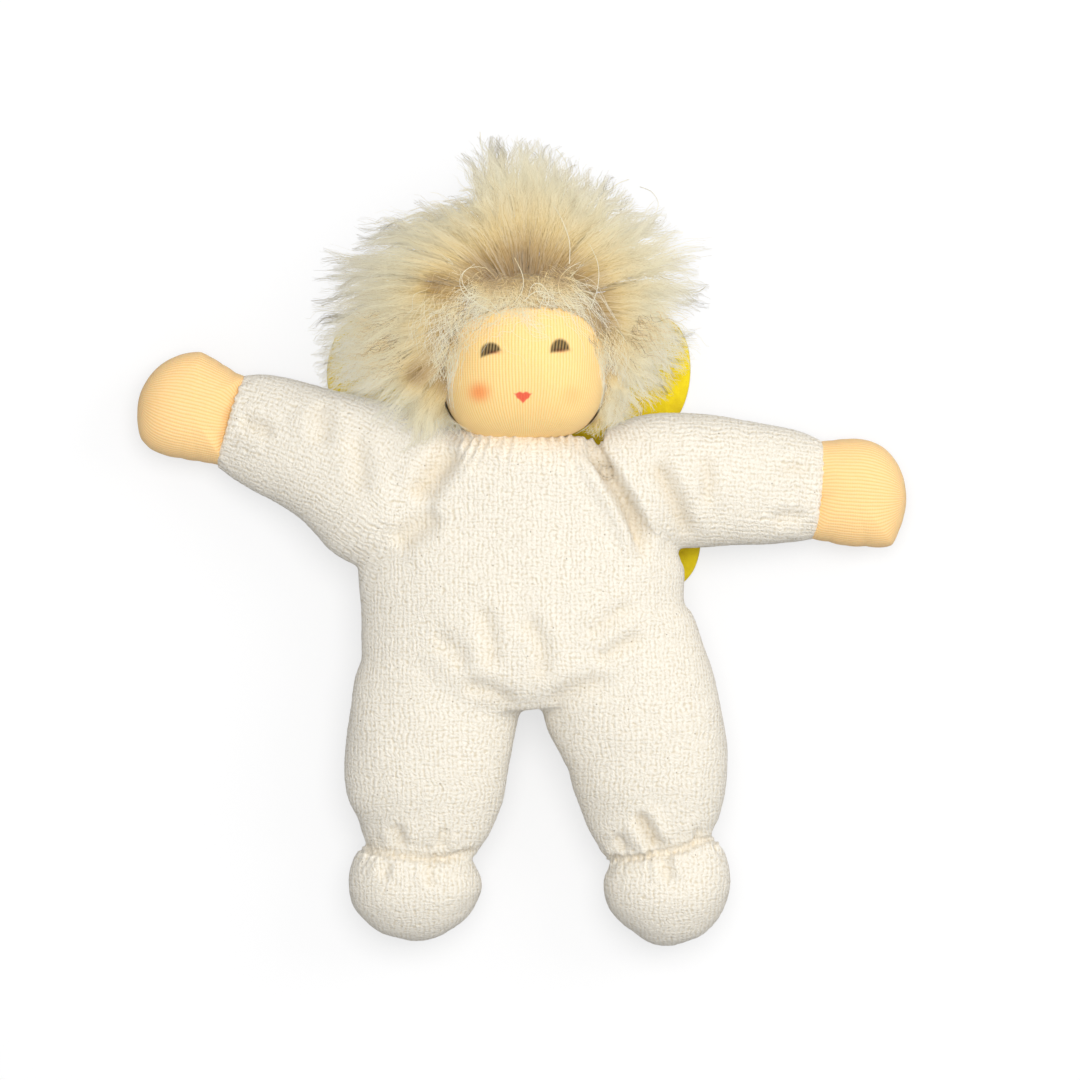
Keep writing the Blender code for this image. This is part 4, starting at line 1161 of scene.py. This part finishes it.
# %% Locks
LOCKS, PER_LOCK, STEPS = ((430, 26, 14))
# How far locks bend aside and wave, and rise and fall, in pixels and mm
BEND, WAVE, WAVE_RISE = 9.0, 4.2, 2.2
chance = np.random.default_rng(41)
layer = chance.uniform(0, 1, LOCKS) ** 0.8
place = chance.uniform(0, len(GUIDES) - 1.001, LOCKS)
start = 0.42 * (1 - layer) * chance.uniform(0.6, 1.2, LOCKS)
stop = np.where(layer > 0.6, chance.uniform(0.62, 1.03, LOCKS), chance.uniform(0.82, 1.04, LOCKS))
t = np.linspace(0, 1, STEPS)
share = start[:, None] + (stop - start)[:, None] * t
way = guide_at(place, share)
way[..., 2] *= (0.42 + 0.58 * layer)[:, None]
bend = chance.normal(0, 1, (LOCKS, 2)) * BEND
away = np.gradient(way[..., :2], axis=1)
away /= np.maximum(np.linalg.norm(away, axis=2, keepdims=True), 1e-9)
square = np.stack((-away[..., 1], away[..., 0]), -1)
waves = chance.uniform(1.3, 2.6, (LOCKS, 1))
phase = chance.uniform(0, 1, (LOCKS, 1))
wave = np.sin(2 * np.pi * (t[None] * waves + phase))
swing = bend[:, :1] * t ** 2 + WAVE * wave * t * chance.uniform(0.4, 1.3, (LOCKS, 1))
way[..., :2] += square * swing[..., None]
way[..., 2] += WAVE_RISE * np.roll(wave, 3, 1) * t
print("locks:", LOCKS, "of them in the upper layer:", int((layer > 0.6).sum()))

# %% [markdown]
# The strands keep near their lock: spread at the root and in the middle, drawn in at the
# tip. About a third are loose and spread further, which makes the wig airy. All have a
# crimp, as wool does, and differ in length.

# %% Strands of the locks
# The share of loose strands, how flat a lock is, and its crimp sideways and in height
LOOSE_SHARE, LOCK_FLATNESS, CRIMP, CRIMP_RISE = 0.36, 0.36, 1.9, 0.35
total = LOCKS * PER_LOCK
lock = np.repeat(np.arange(LOCKS), PER_LOCK)
turn = chance.uniform(0, 2 * np.pi, total)
reach = np.sqrt(chance.uniform(0, 1, total)) * chance.uniform(5.0, 9.0, LOCKS)[lock]
loose = chance.uniform(0, 1, total) < LOOSE_SHARE
spread = np.where(loose[:, None], 1.0 + 0.9 * t ** 2, 1.0 - 0.72 * t ** 1.5)
offset = reach[:, None] * spread
waves = chance.uniform(3.0, 6.0, (total, 1))
phase = chance.uniform(0, 1, (total, 1))
crimp = np.sin(2 * np.pi * (t[None] * waves + phase))
lines = way[lock].copy()
lines[..., :2] += square[lock] * (offset * np.cos(turn)[:, None] + CRIMP * crimp * t ** 0.5)[..., None]
lines[..., 2] += (offset * np.sin(turn)[:, None] * LOCK_FLATNESS
                  + CRIMP_RISE * np.roll(crimp, 2, 1) * t ** 0.5)
lengths = 1 - 0.25 * chance.uniform(0, 1, total) ** 2
whole = lines.copy()
for k in range(3):
    for r in range(total):
        lines[r, :, k] = np.interp(t * lengths[r], t, whole[r, :, k])
print("strands:", total, "of them loose:", int(loose.sum()))


# %% Clear of the head
def to_metres(lines):
    """Points in pixels with heights in mm, in metres."""
    x, y = at(lines[..., 0], lines[..., 1])
    return np.stack((x, y, lines[..., 2] * MM), -1)


def above_head(points, clear):
    """Lifts points that lie in the head out through its skin."""
    flat = points.reshape(-1, 3).copy()
    mx, my = at(*HEAD_MIDDLE)
    dx, dy, dz = flat[:, 0] - mx, flat[:, 1] - my, flat[:, 2] - HEAD_Z
    reach = head_reach(np.arctan2(dy, dx)) + clear
    deep = np.sqrt((dx / reach) ** 2 + (dy / reach) ** 2 + (dz / (HEAD_DEPTH + clear)) ** 2)
    push = np.where(deep < 1, 1 / np.maximum(deep, 0.35), 1.0)
    flat[:, 0], flat[:, 1] = mx + dx * push, my + dy * push
    flat[:, 2] = HEAD_Z + dz * push
    return flat.reshape(points.shape)


# How far the locks, the cap and the fringe stay above the skin, and locks above the floor
LOCK_CLEAR, CAP_CLEAR, FRINGE_CLEAR, FLOOR_CLEAR = 0.8 * MM, 0.7 * MM, 0.5 * MM, 0.5 * MM
lines = above_head(to_metres(lines), LOCK_CLEAR)
lines[..., 2] = np.maximum(lines[..., 2], FLOOR_CLEAR)
print("the wig spans in mm:", [round(float(s) / MM) for s in np.ptp(lines.reshape(-1, 3), axis=0)])

# %% Pieces of the wig
# How many pieces the locks are made in, side by side round the head
HAIR_PIECES = 5
radius = chance.uniform(0.075, 0.14, total)[:, None] * MM * (1.05 - 0.80 * t[None] ** 1.6)
tint = np.clip(chance.normal(0.45, 0.22, total) + chance.normal(0, 0.16, LOCKS)[lock], 0, 1)
parts = np.linspace(0, len(GUIDES) - 1, HAIR_PIECES + 1)
for k in range(HAIR_PIECES):
    chosen = (place[lock] >= parts[k]) & (place[lock] < parts[k + 1])
    verts, faces = strands(lines[chosen], radius[chosen])
    piece = mesh_object(f"hair_{k + 1}", verts, faces, PILE)
    put_along_and_root_shade(piece, np.repeat(share[lock][chosen], SIDES, axis=1))
    put_attribute(piece, "tint", np.repeat(tint[chosen], SIDES * STEPS))
    put_puff(piece)
    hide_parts("hair")
    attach(piece, "head")
print("wig:", total, "strands in", LOCKS, "locks")

# %% [markdown]
# ## The cap under the pile
# Pile cloth grows on a knitted backing, which shows between the locks; its brownish
# tone is painted shade there. Here it is the head's own ball, a little larger, without
# the part inside the hairline, so that it hugs the head everywhere and needs no fitting.

# %% Cap
HAIRLINE = ((440, 420), (446, 372), (452, 344), (466, 328), (486, 318), (510, 313), (540, 312), (566, 315),
            (586, 325), (598, 340), (606, 360), (611, 400), (613, 425))
d, faces = ball(96, 72)
cap = head_point(d, CAP_CLEAR)
cpx, cpy = cap[:, 0] / PX + OX, OY - cap[:, 1] / PX
line_x, line_y = np.array(HAIRLINE, float).T
brow = np.interp(cpx, line_x, line_y, left=600, right=600)
bare = ((d[:, 2] > 0.12) & (cpy > brow)) | (cpy > 428)
faces = np.array([f for f in faces if not bare[list(f)].any()])


def shaded_backing_material():
    """The knitted ground of the pile, full of short fibres; its brownish tone is painted shade between the
    locks.
    """
    made, tree, shader, add = material("pile backing", 0.95, 0.3)
    where = add("ShaderNodeTexCoord").outputs["Object"]
    fuzz = add("ShaderNodeTexNoise", Vector=where, Scale=900.0, Detail=4.0).outputs["Fac"]
    # Painted shade: the real backing is coloured brownish, as the shade between the locks
    tree.links.new(ramp(add, fuzz, (0.3, rgb(168, 138, 90)), (0.7, rgb(206, 178, 126))),
                   shader.inputs["Base Color"])
    bump = add("ShaderNodeBump", Strength=1.0, Distance=0.001, Height=fuzz)
    tree.links.new(bump.outputs[0], shader.inputs["Normal"])
    return made


cap_piece = mesh_object("hair_cap", cap, faces, shaded_backing_material())
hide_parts("hair")
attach(cap_piece, "head")
print("cap:", len(faces), "quads")

# %% [markdown]
# ## Fringe and single hairs
# Short fibres cross the hairline, so that no clean edge shows there, and a few long
# hairs curl over the forehead on their own. Bands of short strands are scattered along
# lines traced from the picture; the single hairs are traced one by one, since the eye
# goes to them first.

# %% Bands of the fringe
# Each row: how many, how wide a band in pixels, how curly, then points with height in mm
FRINGE = (
    (120, 9, 2.2, (512, 284, 55), (488, 300, 59), (466, 315, 56), (448, 342, 48)),
    (110, 9, 2.2, (538, 284, 55), (566, 298, 59), (588, 313, 56), (604, 340, 47)),
    (110, 16, 3.0, (500, 286, 56), (492, 300, 60), (478, 312, 58), (462, 322, 54)),
    (110, 16, 3.0, (530, 280, 57), (538, 296, 61), (548, 308, 60), (562, 316, 56)),
    (80, 12, 3.0, (516, 282, 57), (508, 298, 61), (500, 308, 60), (494, 317, 58)),
    (130, 12, 2.6, (455, 335, 49), (448, 356, 48), (444, 380, 44), (446, 408, 38)),
    (130, 9, 2.6, (602, 330, 50), (609, 354, 46), (610, 380, 40), (606, 410, 34)),
    (120, 14, 3.5, (470, 300, 56), (452, 318, 58), (440, 340, 54), (436, 366, 48)),
    (260, 12, 3.0, (450, 396, 24), (452, 412, 28), (456, 426, 30), (462, 442, 31)),
    (260, 12, 3.0, (606, 392, 24), (604, 408, 28), (600, 422, 30), (592, 438, 31)),
    (160, 14, 3.0, (438, 380, 24), (436, 404, 30), (434, 426, 38), (438, 446, 42)),
    (360, 12, 3.0, (402, 352, 46), (372, 362, 40), (346, 372, 31), (320, 384, 20)),
    (260, 12, 3.0, (402, 330, 48), (368, 336, 40), (340, 342, 30), (316, 352, 19)),
    (200, 12, 3.0, (632, 328, 46), (654, 340, 39), (674, 354, 30), (692, 368, 18)),
)
print("short hairs:", sum(row[0] for row in FRINGE), "in", len(FRINGE), "bands")

# %% Single hairs
SINGLE = (
    ((500, 317, 63), (489, 303, 61), (472, 298, 62), (463, 285, 63), (468, 273, 63), (486, 272, 63),
     (497, 283, 62)),
    ((498, 318, 63), (480, 308, 61), (464, 296, 62), (462, 280, 62), (476, 268, 61)),
    ((570, 312, 61), (559, 296, 61), (560, 282, 62), (569, 272, 62), (580, 266, 60)),
    ((545, 314, 65), (549, 300, 62), (541, 288, 63), (532, 290, 63), (528, 303, 61)),
    ((524, 305, 61), (535, 296, 63), (548, 298, 62), (556, 309, 60)),
    ((569, 268, 61), (569, 246, 62), (562, 226, 65), (554, 210, 54)),
    ((515, 262, 61), (523, 280, 63), (522, 296, 62), (510, 312, 60)),
    ((590, 312, 56), (597, 290, 63), (597, 268, 63), (588, 246, 56)),
    ((480, 132, 26), (482, 150, 32), (490, 172, 40), (500, 205, 50)),
    ((556, 149, 26), (566, 164, 32), (566, 184, 40), (560, 214, 50)),
    ((629, 179, 22), (618, 184, 28), (606, 194, 34), (594, 208, 42)),
    ((640, 186, 20), (652, 192, 24), (658, 206, 32), (650, 226, 40)),
    ((320, 305, 14), (332, 302, 20), (346, 305, 30), (366, 306, 40)),
    ((706, 286, 14), (696, 292, 20), (680, 290, 30), (662, 284, 40)),
)
print("single hairs:", len(SINGLE))

# %% Scatter in the bands
curls, thin, bright = [], [], []
for number, band_width, curl, *points in FRINGE:
    number = number
    base = spline(points, STEPS)
    away = np.gradient(base[:, :2], axis=0)
    away /= np.linalg.norm(away, axis=1)[:, None]
    square = np.stack((-away[:, 1], away[:, 0]), 1)
    shift = chance.normal(0, 1, (number, 1)) * band_width
    lean = chance.normal(0, 1, (number, 1)) * band_width * 0.7
    wave = curl * np.sin(2 * np.pi * (t[None] * chance.uniform(1.0, 3.0, (number, 1))
                                      + chance.uniform(0, 1, (number, 1))))
    span = chance.uniform(0.35, 1.0, (number, 1))
    begin = chance.uniform(0.0, 0.3, (number, 1))
    at_share = np.clip(begin + span * (1 - begin) * t[None], 0, 1)
    line = np.stack([np.interp(at_share, t, base[:, k]) for k in range(3)], -1)
    perp = np.stack([np.interp(at_share, t, square[:, k]) for k in range(2)], -1)
    line[..., :2] += perp * (shift + lean * t[None] ** 2 + wave)[..., None]
    line[..., 2] += chance.uniform(-1.5, 1.2, (number, 1)) + 0.2 * wave
    curls.append(line)
    thin.append(np.repeat(chance.uniform(0.05, 0.10, (number, 1)), STEPS, 1))
    bright.append(np.clip(at_share * 1.2 + chance.normal(0.1, 0.18, (number, 1)), 0, 1))
print("scattered hairs:", sum(len(line) for line in curls))

# %% Fringe
for points in SINGLE:
    curls.append(spline(points, STEPS)[None])
    thin.append(np.full((1, STEPS), 0.15))
    bright.append(np.full((1, STEPS), 0.9))
curls = above_head(to_metres(np.concatenate(curls)), FRINGE_CLEAR)
thin = np.concatenate(thin) * MM * (1.0 - 0.5 * t[None] ** 2)
verts, faces = strands(curls, thin)
fringe = mesh_object("hair_fringe", verts, faces, PILE)
put_along_and_root_shade(fringe, np.repeat(np.concatenate(bright), SIDES, axis=1))
put_attribute(fringe, "tint", np.repeat(chance.uniform(0.3, 0.9, len(curls)), SIDES * STEPS))
put_puff(fringe)
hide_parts("hair")
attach(fringe, "head")
print("fringe and single hairs:", len(curls))

# %% [markdown]
# ## Threads
# A strong cotton thread gathers the cloth at each ankle, to part the foot from the leg,
# and another ties the jersey at the neck. They lie deep in the gathers, where hardly
# more than a dark line shows, so a plain closed ring without a knot is enough.

# %% Gathering threads
THREAD, _, shader, _ = material("cotton thread", 0.8)
shader.inputs["Base Color"].default_value = rgb(232, 222, 198)


def thread_loop(name, middle, across, wide, deep, thick, turns=96):
    """A closed oval thread, upright on the floor."""
    turn = np.linspace(0, 2 * np.pi, turns, endpoint=False)
    c, s = np.cos(turn)[:, None], np.sin(turn)[:, None]
    line = np.asarray(middle) + np.asarray(across) * c * wide + np.array((0.0, 0.0, 1.0)) * s * deep
    ring = np.concatenate((line, line[:1], line[1:2]))[None]
    verts, faces = strands(ring, np.full((1, turns + 2), thick), 6, 1.0)
    return mesh_object(name, verts, faces, THREAD)


# Each ankle: its middle in pixels and its slope
ANKLES = (("right", (419, 853), 0.02), ("left", (661, 851), -0.11))
for side, px_middle, slope in ANKLES:
    x, y = at(*px_middle)
    loop = thread_loop("ankle_thread_" + side, (x, y, 18.3 * MM), (1, -slope, 0), 17.9 * MM, 12.8 * MM,
                       0.35 * MM)
    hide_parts("ankle_thread_" + side)
    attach(loop, "leg_" + side)
COLLAR_MIDDLE, COLLAR_RADIUS = (0.0013, 0.0490, 0.0310), 6.5 * MM
loop = thread_loop("collar_thread", COLLAR_MIDDLE, (1, 0, 0), COLLAR_RADIUS, COLLAR_RADIUS, 0.4 * MM)
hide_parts("collar_thread")
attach(loop, "neck")
print("threads made")

# %% [markdown]
# ## The picture
# The sheet under the doll looks white to the camera, though it lights nothing: a real
# white sheet in this light would come out grey, and one that glowed would wash out the
# shadows under the doll. So its glow is shown only to the rays that reach the camera.

# %% Floor
# How bright the sheet glows and half its side
FLOOR_GLOW, FLOOR_HALF = 0.66, 1.5


def floor_material():
    """A white sheet whose glow only the camera sees."""
    made, tree, shader, add = material("white sheet", 0.9)
    shader.inputs["Base Color"].default_value = (0.30, 0.30, 0.302, 1)
    path = add("ShaderNodeLightPath")
    seen = maths(add, "MAXIMUM", path.outputs["Is Camera Ray"],
                 maths(add, "MAXIMUM", path.outputs["Is Glossy Ray"], path.outputs["Is Transmission Ray"]))
    glow = add("ShaderNodeEmission", Color=(1, 1, 1, 1), Strength=maths(add, "MULTIPLY", seen, FLOOR_GLOW))
    both = add("ShaderNodeAddShader")
    tree.links.new(shader.outputs[0], both.inputs[0])
    tree.links.new(glow.outputs[0], both.inputs[1])
    tree.links.new(both.outputs[0], tree.nodes["Material Output"].inputs["Surface"])
    return made


floor_corners = [(x * FLOOR_HALF, y * FLOOR_HALF, 0) for x, y in ((-1, -1), (1, -1), (1, 1), (-1, 1))]
floor = mesh_object("floor", floor_corners, [(0, 1, 2, 3)], floor_material())
floor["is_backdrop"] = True
print("floor side in m:", 2 * FLOOR_HALF)

# %% [markdown]
# The light is soft, as from a window: a wide lamp above the head end draws the folds,
# a weaker one comes from the doll's left, and a pale room fills the shadows.

# %% Lights
def lamp(name, place, aim, size, power, colour):
    """A round soft lamp that is turned to a point."""
    light = bpy.data.lights.new(name, "AREA")
    light.shape, light.size, light.energy, light.color = "DISK", size, power, colour
    item = bpy.data.objects.new(name, light)
    item.location = place
    item.rotation_euler = (Vector(aim) - Vector(place)).to_track_quat("-Z", "Y").to_euler()
    bpy.context.collection.objects.link(item)


ROOM_LIGHT = 0.55
lamp("overhead", (0.10, 0.25, 1.6), (0, 0, 0), 1.1, 16.5, (1.0, 0.99, 0.97))
lamp("right side", (1.2, 0.5, 0.9), (0, 0, 0.03), 0.9, 6.0, (1.0, 0.98, 0.94))
world = bpy.data.worlds.new("room")
bpy.context.scene.world = world
world.use_nodes = True
world.node_tree.nodes["Background"].inputs["Color"].default_value = (0.97, 0.98, 1.0, 1)
world.node_tree.nodes["Background"].inputs["Strength"].default_value = ROOM_LIGHT
print("lamps:", len(bpy.data.lights))

# %% [markdown]
# The camera looks straight down from far off, with the picture's top towards the crown.
# From near by, the face would grow against the feet; at this distance a pixel is the
# same size all over the doll, which is how the outlines were read. The lens is set so
# that the picture's width at the doll's middle height is the photograph's.

# %% Camera
# The picture's side in pixels, the lens's sensor in mm, the doll's middle height and how
# far up the camera is
PICTURE, SENSOR, MIDDLE_HEIGHT, FAR = 1080, 36.0, 0.025, 2.4
lens = bpy.data.cameras.new("camera")
camera = bpy.data.objects.new("camera", lens)
bpy.context.collection.objects.link(camera)
bpy.context.scene.camera = camera
cx, cy = at(PICTURE / 2, PICTURE / 2)
camera.location = (cx, cy, FAR)
lens.sensor_width = SENSOR
lens.lens = SENSOR * (FAR - MIDDLE_HEIGHT) / (PICTURE * PX)
lens.clip_end = 20.0
bpy.context.scene.view_settings.view_transform = "Standard"
print("lens in mm:", round(lens.lens, 1))

# %% Size
last_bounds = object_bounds()
rows = {"first": [list(v) for v in first_bounds], "last": [list(v) for v in last_bounds]}
print("bounds in mm:", [[round(v * 1000, 1) for v in row] for row in rows["last"]])
